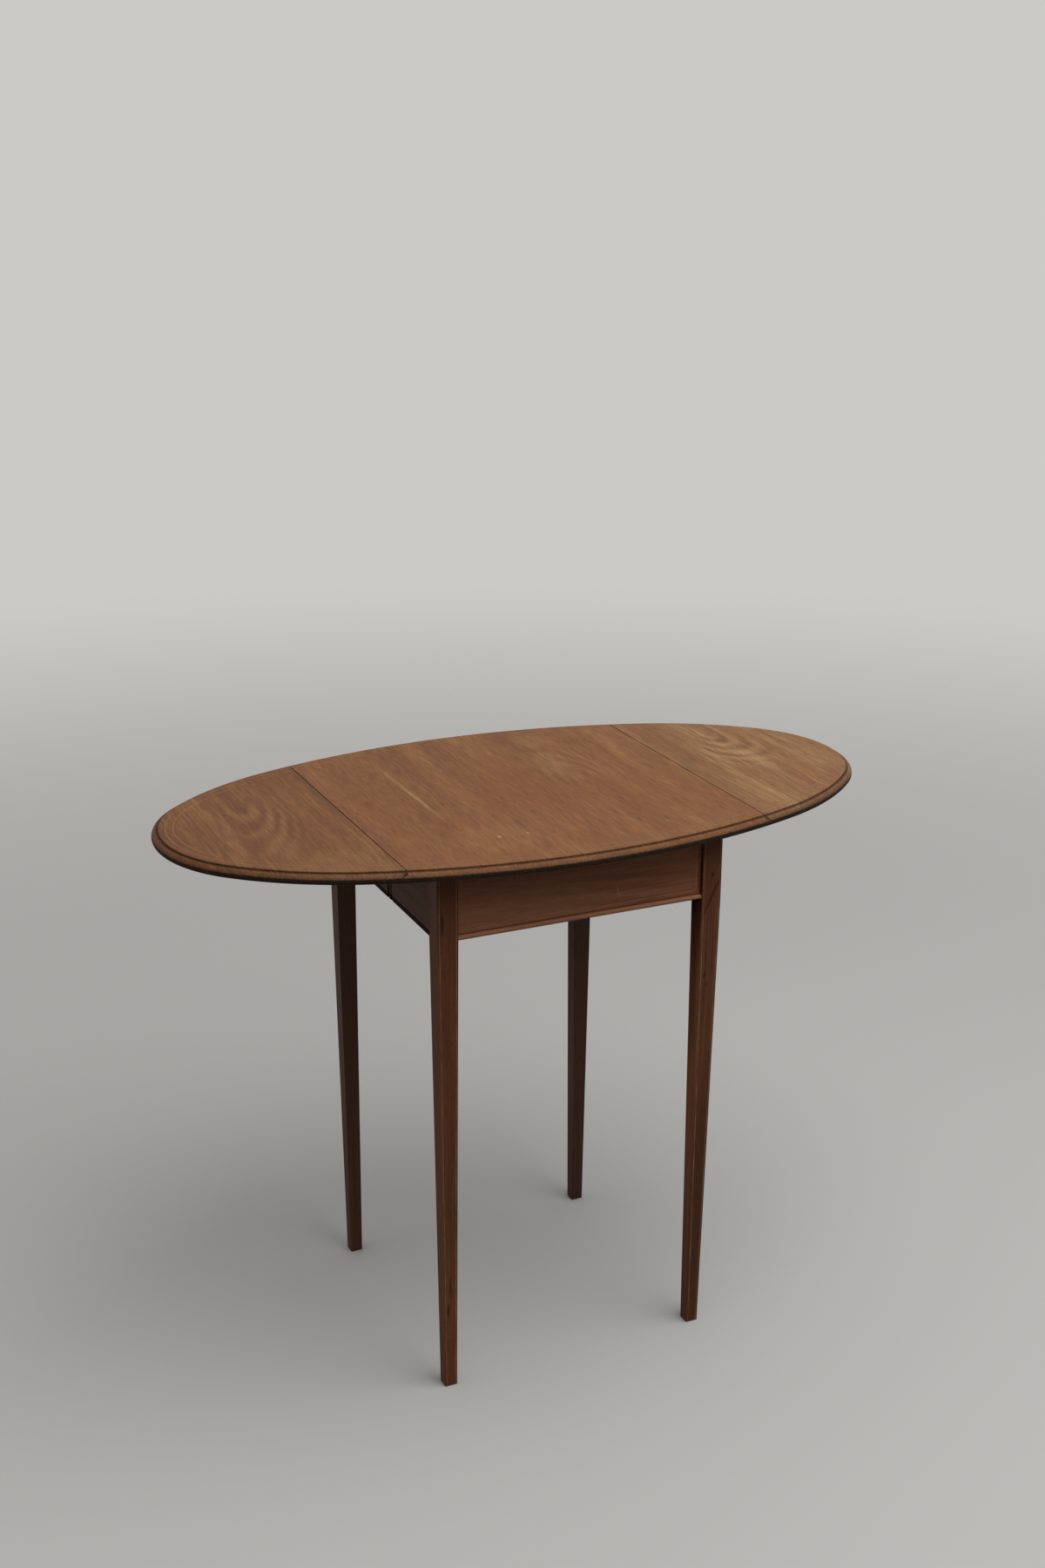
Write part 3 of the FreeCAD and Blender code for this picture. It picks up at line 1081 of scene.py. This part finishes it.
    def screws(self, offsets: Iterable[Span], hands: Iterable[Hand]) -> BMesh:
        """Make the screw heads in the hinge plates.

        Args:
            offsets: Places from the hinge's middle.
            hands: Sides that have them.

        Returns:
            Their mesh.
        """
        by_screw, by_place, by_hand = self.slot_turns
        places = []
        for hand in hands:
            for y in self.hinge_places:
                for index, (out, along) in enumerate(offsets):
                    place = (hand.value * (HINGE_LINE + out), y + along, self.plate_bottom)
                    turn = by_screw * index + by_place * y + by_hand * hand.value
                    places.append((place, (0, 0, -1), turn))
        return Screw().heads(places)

    def fit_out(self, side: str, body: str, lines: BMesh, screws: BMesh, woods: Woods) -> None:
        """Finish the lines, hinge plates and screws of one board.

        Args:
            side: Word for the board's side.
            body: Body that they ride on.
            lines: Its stringing.
            screws: Its screw heads.
            woods: Finishes to use.
        """
        plates = "hinge_plates_" + side
        eased = softened(plates, self.hinge_ease)
        finished("lines_" + side, lines, woods["line"], body, "stringing", "stringing_" + side)
        finished("hinges_" + side, eased, woods["brass"], body, "hinge_brass", plates)
        finished("hinge_screws_" + side, screws, woods["steel"], body, "pin_steel")

    def build(self, woods: Woods) -> None:
        """Build the boards, lines, hinges and screws.

        Args:
            woods: Finishes to use.
        """
        finished("board_centre", self.centre_board(), woods["centre"], "frame", "top_mahogany", "top_centre")
        lines = self.strings(-HINGE_LINE, HINGE_LINE)
        self.fit_out("centre", "frame", lines, self.screws(self.short_screws, Hand), woods)
        near, far = HINGE_LINE + self.seam_gap, self.oval.half_length + self.margin
        for hand in Hand:
            body = "leaf_" + hand.word
            finished("board_" + hand.word, self.leaf(hand), woods[hand.word], body, "top_mahogany", body)
            lines = mirrored(self.strings(near, far), hand)
            self.fit_out(hand.word, body, lines, self.screws(self.long_screws, [hand]), woods)


@dataclass
class LegFrame:
    """Four square tapered legs, aprons with beads, side rails, corner blocks and buttons.

    The slots of its screws turn by so many degrees for each millimetre across and along the table at
    the buttons, and for each side and row at the fly blocks.
    """

    half_width: float = 185.0
    leg_width: float = 26.0
    foot_width: float = 16.0
    foot_inset: float = 7.5
    knee: float = 595.0
    arris: float = 0.9
    arris_facets: int = 3
    foot_ease: float = 0.7
    line_inset: float = 2.0
    line_width: float = 0.9
    line_foot: float = 1.5
    line_proud: float = 0.04
    line_depth: float = 0.5
    bead_height: float = 5.5
    bead_setback: float = 1.2
    bead_round: float = 2.6
    bead_facets: int = 6
    apron_inner: float = 163.5
    rail_inner: float = 153.5
    block_ease: float = 0.6
    button_spacing: float = 190.0
    button_depth: float = 28.0
    button_height: float = 14.0
    screw: Screw = Screw(radius=4.0)
    block_screw_place: float = 14.0
    button_turns: Span = (0.7, 0.2)
    block_turns: Span = (31.0, 17.0)

    def leg(self) -> BMesh:
        """Make the right back leg: square at the rails, tapered below, with rubbed arrises.

        Returns:
            Its mesh.
        """
        inner = self.half_width - self.leg_width
        bm = box((inner, inner, self.knee), (self.half_width, self.half_width, UNDERSIDE))
        base = min(bm.faces, key=lambda face: face.calc_center_median().z)
        middle = base.calc_center_median()
        foot = new_verts(bmesh.ops.extrude_face_region(bm, geom=[base]))
        share = self.foot_width / self.leg_width
        bmesh.ops.scale(bm, vec=(share, share, 1), space=Matrix.Translation(-middle), verts=foot)
        shift = (self.leg_width - self.foot_width) / 2 - self.foot_inset
        bmesh.ops.translate(bm, vec=(shift, shift, -self.knee), verts=foot)
        rounded(bm, [e for e in bm.edges if all(v.co.z < NEAR for v in e.verts)], self.foot_ease)
        upright = [e for e in bm.edges if abs(e.verts[0].co.z - e.verts[1].co.z) > self.leg_width]
        rounded(bm, upright, self.arris, self.arris_facets)
        return bm

    def leg_line(self, outer: bool) -> BMesh:
        """Make the line of stringing beside one arris of the right back leg's back face.

        Args:
            outer: True for the arris at the table's corner.

        Returns:
            Its mesh.
        """
        foot = (self.line_foot, self.foot_inset, self.foot_width)
        bm = bmesh.new()
        loops = []
        for z, inset, width in (foot, (self.knee, 0.0, self.leg_width), (UNDERSIDE, 0.0, self.leg_width)):
            corner = self.half_width - inset
            right = corner - self.line_inset if outer else corner - width + self.line_inset + self.line_width
            left, back = right - self.line_width, corner + self.line_proud
            deep = back - self.line_depth
            ring = ((left, back), (right, back), (right, deep), (left, deep))
            verts = [bm.verts.new((x, y, z)) for x, y in ring]
            loops.append([bm.edges.new(ends) for ends in zip(verts, verts[1:] + verts[:1])])
        for lower, upper in zip(loops, loops[1:]):
            bmesh.ops.bridge_loops(bm, edges=lower + upper)
        return closed(bm)

    def bead(self) -> BMesh:
        """Make the bead under the back apron, with a rounded nose.

        Returns:
            Its mesh.
        """
        nose, reach = self.half_width - self.bead_setback, self.half_width - self.leg_width
        bm = box((-reach, self.apron_inner, self.knee), (reach, nose, self.knee + self.bead_height))
        long = [e for e in bm.edges if e.calc_length() > reach]
        front = [e for e in long if all(v.co.y > nose - NEAR for v in e.verts)]
        rounded(bm, front, self.bead_round, self.bead_facets)
        return bm

    def inner_screws(self) -> BMesh:
        """Make the screw heads of the buttons and of the fly blocks, the latter inside the side rails.

        Returns:
            Their mesh.
        """
        by_x, by_y = self.button_turns
        by_hand, by_row = self.block_turns
        places = []
        for row in Row:
            for hand in Hand:
                x = hand.value * self.button_spacing / 2
                y = row.value * (self.apron_inner - self.button_depth / 2)
                places.append(((x, y, UNDERSIDE - self.button_height), (0, 0, -1), by_x * x + by_y * y))
                x, y = hand.value * self.rail_inner, row.value * self.block_screw_place
                turn = by_hand * hand.value + by_row * row.value
                places.append(((x, y, (self.knee + UNDERSIDE) / 2), (-hand.value, 0, 0), turn))
        return self.screw.heads(places)

    def build(self, woods: Woods) -> None:
        """Build the legs and beads and dress what stays.

        Args:
            woods: Finishes to use.
        """
        for row in Row:
            for hand in Hand:
                place = row.word + "_" + hand.word
                leg, wood = mirrored(self.leg(), hand, row), woods[row.word + "_leg"]
                finished("post_" + place, leg, wood, "frame", "frame_mahogany", "leg_" + place)
                lines = mirrored(joined([self.leg_line(True), self.leg_line(False)]), hand, row)
                finished("leg_lines_" + place, lines, woods["leg_line"], "frame", "stringing")
            bead, node = mirrored(self.bead(), Hand.RIGHT, row), "bead_" + row.word
            finished("nosing_" + row.word, bead, woods["bead"], "frame", "frame_mahogany", node)
            dress("apron_" + row.word, woods["apron"])
            dress("apron_stringing_" + row.word, woods["apron_line"])
        for hand in Hand:
            dress("side_rail_" + hand.word, woods["bare_along"])
        for node, wood in (("corner_blocks", "bare_upright"), ("top_buttons", "bare_along")):
            eased = softened(node, self.block_ease)
            finished("eased_" + node, eased, woods[wood], "frame", "carcass_wood", node)
        finished("inner_screws", self.inner_screws(), woods["steel"], "frame", "pin_steel")


@dataclass
class FlyBrackets:
    """Swinging brackets on wooden knuckles in both sides of the frame."""

    ease: float = 0.5

    def build(self, woods: Woods) -> None:
        """Ease the brackets and their blocks and dress the pins.

        Args:
            woods: Finishes to use.
        """
        blocks, wood = softened("fly_blocks", self.ease), woods["side"]
        finished("knuckle_blocks", blocks, wood, "frame", "frame_mahogany", "fly_blocks")
        for row in Row:
            for hand in Hand:
                place = row.word + "_" + hand.word
                node = "fly_bracket_" + place
                wing = softened(node, self.ease)
                finished("wing_" + place, wing, wood, "bracket_" + place, "frame_mahogany", node)
        dress("knuckle_pins", woods["steel"])


def on_top(
    x: float, y: float, half_x: float, half_y: float, colour: str, strength: float,
    swing: float = 0.0, depth: float = PATCH,
) -> Mark:
    """Mark on the face of the top, turned in the face by its swing in degrees."""
    return Mark((x, y, SURFACE), (half_x, half_y, depth), colour, strength, (0.0, 0.0, swing))


# Patches of other colour on the centre board, two pale streaks among them, then nicks, scratches and knots.
CENTRE_MARKS = (
    on_top(-165.0, -10.0, 75.0, 260.0, "#7b4d2b", 0.45),
    on_top(-128.0, 45.0, 5.0, 165.0, "#ac875c", 0.38),
    on_top(-128.0, 15.0, 2.6, 60.0, "#b59369", 0.3),
    on_top(80.0, 70.0, 34.0, 80.0, "#9f784f", 0.28),
    on_top(100.0, 178.0, 36.0, 40.0, "#9f784f", 0.28),
    on_top(0.0, -15.0, 80.0, 120.0, "#824f2b", 0.5),
    on_top(-95.0, -150.0, 75.0, 60.0, "#95683d", 0.45),
    on_top(-91.2, -147.4, 3.2, 5.5, "#b3947c", 0.85, depth=NICK),
    on_top(-56.3, -148.7, 2.0, 4.5, "#b3947c", 0.8, depth=NICK),
    on_top(74.9, -152.9, 2.6, 19.0, "#a07a58", 0.5, 8.5, NICK),
    on_top(84.6, -136.0, 2.4, 9.0, "#5d4132", 0.75, 35.0, NICK),
    on_top(84.4, -159.4, 2.2, 12.0, "#5d4132", 0.75, -6.6, NICK),
    on_top(118.2, -166.3, 3.4, 6.5, "#563b30", 0.75, depth=NICK),
    on_top(112.7, -177.4, 2.0, 4.0, "#a98b6e", 0.6, depth=NICK),
    on_top(-107.9, -15.1, 2.2, 6.5, "#4e3427", 0.75, depth=NICK),
    on_top(-115.9, -65.3, 2.8, 6.0, "#64422e", 0.55, depth=NICK),
)

# Patches of the left leaf and painted shade in the gap at its seam.
LEFT_MARKS = (
    on_top(-332.0, -75.0, 24.0, 70.0, "#936b45", 0.35),
    on_top(-374.0, -20.0, 10.0, 95.0, "#936b45", 0.4, -4.0),
    on_top(-300.0, -155.0, 60.0, 60.0, "#946b42", 0.4),
    Mark((-231.0, -209.0, 694.6), (4.2, 7.0, 5.6), "#0d0704", 1.0),
)

# Patches of the right leaf, painted shade in the gap at its seam, and painted shade that darkens its front
# edge.
RIGHT_MARKS = (
    on_top(334.0, -8.0, 17.0, 80.0, "#b8966a", 0.4, 4.0),
    on_top(291.0, 25.0, 8.0, 80.0, "#b08d5f", 0.4, 6.0),
    on_top(262.0, 20.0, 14.0, 150.0, "#7c5131", 0.45),
    on_top(382.0, 5.0, 9.0, 110.0, "#7f5534", 0.3, 3.0),
    Mark((231.0, -208.5, 695.0), (3.2, 7.0, 5.0), "#0d0704", 1.0),
    on_top(238.0, -20.0, 17.0, 260.0, "#7c5233", 0.5),
    on_top(402.0, -35.0, 36.0, 75.0, "#a37b51", 0.4),
    Mark((325.0, -163.0, 692.0), (180.0, 75.0, 8.0), "#6a482e", 0.75, (0.0, 0.0, 28.0)),
)

# A lighter lower leg at the front left and painted shade that darkens the lower front right leg, then runs of
# old stain, a slanting scratch and dents.
LEG_MARKS = (
    Mark((-172.0, -179.0, 60.0), (18.0, 7.0, 200.0), "#86502f", 0.5),
    Mark((172.0, -179.0, 200.0), (18.0, 7.0, 280.0), "#42271a", 0.6),
    Mark((-179.2, -185.0, 619.0), (3.2, 6.0, 19.0), "#2c140d", 0.9),
    Mark((-182.6, -185.0, 592.0), (1.9, 6.0, 42.0), "#2c140d", 0.7),
    Mark((-170.3, -179.5, 140.0), (1.7, 6.0, 22.0), "#2a140d", 0.85),
    Mark((-173.0, -179.0, 108.0), (2.2, 6.0, 14.0), "#2a140d", 0.85),
    Mark((171.5, -185.0, 595.4), (2.4, 6.0, 43.0), "#551d12", 1.0, (0.0, 25.0, 0.0)),
    Mark((172.9, -185.0, 625.3), (2.5, 6.0, 4.6), "#1d100b", 1.0, (0.0, 20.0, 0.0)),
    Mark((166.5, -184.0, 494.0), (2.3, 6.0, 5.2), "#2a160f", 0.9, (0.0, 20.0, 0.0)),
    Mark((170.0, -184.0, 481.0), (1.5, 6.0, 4.0), "#301a12", 0.7),
)

# Painted light in a lighter stretch low on the front apron, and a scratch on it.
APRON_MARKS = (
    Mark((-60.0, -179.5, 624.0), (150.0, 8.0, 36.0), "#bc8761", 0.45),
    Mark((48.3, -179.5, 620.5), (1.3, 6.0, 12.0), "#c4a084", 0.7, (0.0, -17.0, 0.0)),
)

# Figures of the left leaf, the centre board, the right leaf and the front apron.
SWIRL_LEFT, ARCH_CENTRE, SWIRL_RIGHT, ARCH_FRONT = (
    Figure((-330.0, 120.0, SURFACE), (-338.0, -10.0, SURFACE), (72.0, 140.0, PATCH), 12.0, 8.0, 13.0, 0.31),
    Figure((96.0, -70.0, SURFACE), (92.0, 65.0, SURFACE), (62.0, 125.0, PATCH), 13.0, -3.0, 12.0, 0.17),
    Figure((328.0, 104.0, SURFACE), (334.0, 38.0, SURFACE), (66.0, 88.0, PATCH), 30.0, -8.0, 17.0, 0.34),
    Figure((-160.0, -179.5, 612.0), (20.0, -179.5, 628.0), (150.0, 30.0, 45.0), 4.0, 2.0, 14.0, 0.34),
)

# Dirt and painted shade in the quirk of the top, a thin darkening on its ovolo, dirt and painted shade under
# its edge, and dirt in the rule joints.
TOP_DIRT_AND_PAINTED_SHADE = (
    DirtAndShadeBand(697.2, 698.8, 0.5, 0.5, 0.72),
    DirtAndShadeBand(688.0, 698.0, 1.0, 0.4, 0.2),
    DirtAndShadeBand(686.05, 694.3, 0.3, 2.2, 0.96),
    RuleDirt(),
)

# Painted shade in a dark line over the beads of the aprons and in a dark band along the foot of the fly
# brackets.
BEAD_PAINTED_SHADE = (DirtAndShadeBand(600.0, 602.8, 0.2, 1.6, 0.6),)
FOOT_PAINTED_SHADE = (DirtAndShadeBand(580.0, 600.9, 0.9, 0.9, 0.96),)

# Dark, body, pale and red tones of the woods; those marked below carry painted light and shade.
MIDDLING = ("#74482a", "#885833", "#986d43", "#84522e")
BROWNER = ("#694224", "#7c502c", "#8e643d", "#7b4526")
PALER = ("#7b5333", "#926843", "#a68056", "#8c5a37")
LEG_TONES = ("#56321f", "#6c4229", "#815438", "#6b3823")
# Back legs: darker than the front ones as painted shade under the top.
BACK_PAINTED_SHADE_TONES = ("#412518", "#523220", "#63412d", "#502b1c")
# Aprons: lighter as painted light against the shadow of the top's overhang.
APRON_PAINTED_LIGHT_TONES = ("#7e5036", "#9d6849", "#b5815d", "#9a583c")
# Beads: lighter as a painted highlight where light from above catches them.
BEAD_PAINTED_HIGHLIGHT_TONES = ("#a46e4f", "#bd825d", "#cf956e", "#b47659")
# Fly brackets: darker and less red, the darkening painted shade under the leaves.
SIDE_PAINTED_SHADE_TONES = ("#4e3424", "#61442f", "#74553d", "#5f3b28")
BARE_TONES = ("#86694a", "#967552", "#a58562", "#8f6a48")


def make_woods() -> Woods:
    """Choose and build the finishes.

    Returns:
        The finishes by the parts that have them.
    """
    along_x, along_y, along_z = Grain
    top = {"grain": along_y, "fleck": 0.21, "dirt_and_shade_layers": TOP_DIRT_AND_PAINTED_SHADE}
    calm = {"streak_share": 0.7, "band_share": 0.48, **top}
    lively = {"streak_share": 0.9, "band_share": 0.6, **top}
    fine = {"sway": 4.0, "streak_share": 0.9}
    bare = {"pore_depth": 0.1, "roughness": (0.74, 0.86), "sheen": 0.2}
    centre = {"marks": CENTRE_MARKS, "figures": (ARCH_CENTRE,), **calm}
    left = {"marks": LEFT_MARKS, "figures": (SWIRL_LEFT,), **lively}
    right = {"marks": RIGHT_MARKS, "figures": (SWIRL_RIGHT,), **lively}
    leg = {"marks": LEG_MARKS, "sheen": 0.22, **fine}
    apron = {"marks": APRON_MARKS, "figures": (ARCH_FRONT,), "dirt_and_shade_layers": BEAD_PAINTED_SHADE, **fine}
    side = {"dirt_and_shade_layers": FOOT_PAINTED_SHADE, "sheen": 0.15, **fine}
    finishes = {
        "centre": OpenGrain("mahogany_waxed_centre_board", *MIDDLING, **centre),
        "left": OpenGrain("mahogany_waxed_left_leaf", *BROWNER, **left),
        "right": OpenGrain("mahogany_waxed_right_leaf", *PALER, **right),
        "front_leg": OpenGrain("mahogany_waxed_front_legs", *LEG_TONES, along_z, **leg),
        "back_leg": OpenGrain("mahogany_back_legs_painted_shade", *BACK_PAINTED_SHADE_TONES, along_z, **fine),
        "apron": OpenGrain("mahogany_aprons_painted_light_and_shade", *APRON_PAINTED_LIGHT_TONES, along_x, **apron),
        "bead": OpenGrain("mahogany_beads_painted_highlight", *BEAD_PAINTED_HIGHLIGHT_TONES, along_x),
        "side": OpenGrain("mahogany_fly_brackets_painted_shade", *SIDE_PAINTED_SHADE_TONES, along_y, **side),
        "bare_along": OpenGrain("beech_bare_along_sides", *BARE_TONES, along_y, **bare),
        "bare_upright": OpenGrain("beech_bare_upright", *BARE_TONES, along_z, **bare),
        "line": Boxwood("boxwood_line_top", "#946c47", "#7f5937"),
        "leg_line": Boxwood("boxwood_line_legs", "#a87d5b", "#7d543b"),
        "apron_line": Boxwood("boxwood_line_aprons", "#ba8663", "#96674b"),
        "brass": OldMetal("brass_old_hinges", "#a98650", "#86683c", 14.0, (0.36, 0.55)),
        "steel": OldMetal("steel_blunt_screws", "#8d8a85", "#4b443e", 4.0, (0.35, 0.62)),
    }
    return {part: finish.material() for part, finish in finishes.items()}


@dataclass(frozen=True)
class Lamp:
    """Soft square lamp, with its power in watts and its size, place and target in metres."""

    name: str
    power: float
    size: float
    place: Point
    target: Point

    def hang(self) -> None:
        """Hang the lamp and aim it."""
        lamp = bpy.data.lights.new(self.name, "AREA")
        lamp.energy = self.power
        lamp.size = self.size
        holder = placed(self.name, lamp)
        holder.location = self.place
        aim = Vector(self.target) - Vector(self.place)
        holder.rotation_euler = aim.to_track_quat("-Z", "Y").to_euler()


@dataclass
class Studio:
    """Pale floor, soft light and the camera.

    One large lamp hangs over the table and weak ones at its front and left, under a sky that is
    brighter the higher it is. The floor fades into the background over a span in metres.
    """

    camera_place: Point = (-967.2, -2113.9, 1481.1)
    camera_yaw: float = 0.43123
    camera_pitch: float = 0.32153
    camera_roll: float = 0.00429
    focal_pixels: float = 2278.0
    picture_height: float = 1800.0
    sensor: float = 36.0
    sight: float = 100.0
    floor_radius: float = 30000.0
    floor_facets: int = 96
    floor_fade: Span = (0.8, 4.5)
    floor_roughness: float = 0.9
    floor_sheen: float = 0.1
    floor_colour: str = "#cdccca"
    bounce_colour: str = "#333331"
    far_colour: str = "#cbcac7"
    sky_colour: tuple[float, float, float, float] = (1.0, 0.99, 0.97, 1.0)
    sky_rise: float = 2.2
    horizon_level: float = 0.02
    zenith_level: float = 0.82
    lamps: tuple[Lamp, ...] = (
        Lamp("lamp_over", 40.0, 2.4, (0.7, -1.0, 2.8), (0.0, 0.0, 0.5)),
        Lamp("lamp_front", 6.0, 2.0, (1.2, -2.3, 2.3), (0.0, 0.0, 0.45)),
        Lamp("lamp_left", 4.5, 1.6, (-2.8, 0.3, 1.0), (0.0, 0.0, 0.45)),
    )

    def seen(self, nodes: Nodes) -> NodeSocket:
        """Tell what the eye sees, straight, in a reflection or through glass, from what only lights.

        Args:
            nodes: Nodes to add to.

        Returns:
            One for what is seen, zero for what only lights.
        """
        path = nodes.add("LightPath").outputs
        direct = nodes.math("ADD", path["Is Camera Ray"], path["Is Glossy Ray"], clamp=True)
        return nodes.math("ADD", direct, path["Is Transmission Ray"], clamp=True)

    def floor(self) -> None:
        """Lay a plain pale floor that throws little light back up and fades into the background."""
        bm = bmesh.new()
        bmesh.ops.create_circle(bm, cap_ends=True, segments=self.floor_facets, radius=self.floor_radius * MM)
        floor = placed("studio_floor", as_mesh(bm, "studio_floor"))
        material, nodes = node_material("painted_floor_pale_grey")
        seen = self.seen(nodes)
        shades = {0: seen, 6: linear(self.bounce_colour), 7: linear(self.floor_colour)}
        colour = nodes.add("Mix", shades, data_type="RGBA").outputs[2]
        paint = {"Base Color": colour, "Roughness": self.floor_roughness}
        shader = nodes.add("BsdfPrincipled", {**paint, "Specular IOR Level": self.floor_sheen})
        fade = nodes.span(nodes.length(nodes.spot), *self.floor_fade, soft=True)
        glow = nodes.add("Emission", {"Color": linear(self.far_colour), "Strength": 1.0})
        share = nodes.math("MULTIPLY", fade, seen)
        mixed = nodes.add("MixShader", {0: share, 1: shader.outputs[0], 2: glow.outputs[0]})
        nodes.add("OutputMaterial", {"Surface": mixed.outputs[0]})
        floor.data.materials.append(material)

    def sky(self) -> None:
        """Light the studio from a pale sky and show an even background in its place."""
        world = bpy.data.worlds.new("studio_sky")
        world.use_nodes = True
        nodes = Nodes(world.node_tree, "Generated")
        steep = nodes.math("POWER", nodes.axes()["Z"], self.sky_rise, clamp=True)
        level = nodes.span(steep, 0.0, 1.0, self.horizon_level, self.zenith_level)
        lit = nodes.add("Background", {"Color": self.sky_colour, "Strength": level})
        shown = nodes.add("Background", {"Color": linear(self.far_colour), "Strength": 1.0})
        mixed = nodes.add("MixShader", {0: self.seen(nodes), 1: lit.outputs[0], 2: shown.outputs[0]})
        nodes.add("OutputWorld", {"Surface": mixed.outputs[0]})
        bpy.context.scene.world = world

    def camera(self) -> None:
        """Stand the camera where the photograph was taken from."""
        data = bpy.data.cameras.new("camera")
        data.sensor_width = self.sensor
        data.lens = self.focal_pixels / self.picture_height * self.sensor
        data.clip_end = self.sight
        holder = placed("camera", data)
        aim = Euler((math.pi / 2 - self.camera_pitch, 0.0, -self.camera_yaw)).to_matrix().to_4x4()
        place = Matrix.Translation(Vector(self.camera_place) * MM)
        holder.matrix_world = place @ aim @ Matrix.Rotation(self.camera_roll, 4, "Z")
        bpy.context.scene.camera = holder

    def build(self) -> None:
        """Set up the floor, the light and the camera."""
        bpy.context.scene.view_settings.view_transform = "Standard"
        self.floor()
        for lamp in self.lamps:
            lamp.hang()
        self.sky()
        self.camera()


def main() -> None:
    """Build the table and the studio in order."""
    logging.basicConfig(level=logging.INFO, format="%(name)s: %(message)s")
    woods = make_woods()
    for assembly in (OvalTop(), LegFrame(), FlyBrackets()):
        log.info("building %s", type(assembly).__name__)
        assembly.build(woods)
    Studio().build()


if __name__ == "__main__":
    main()
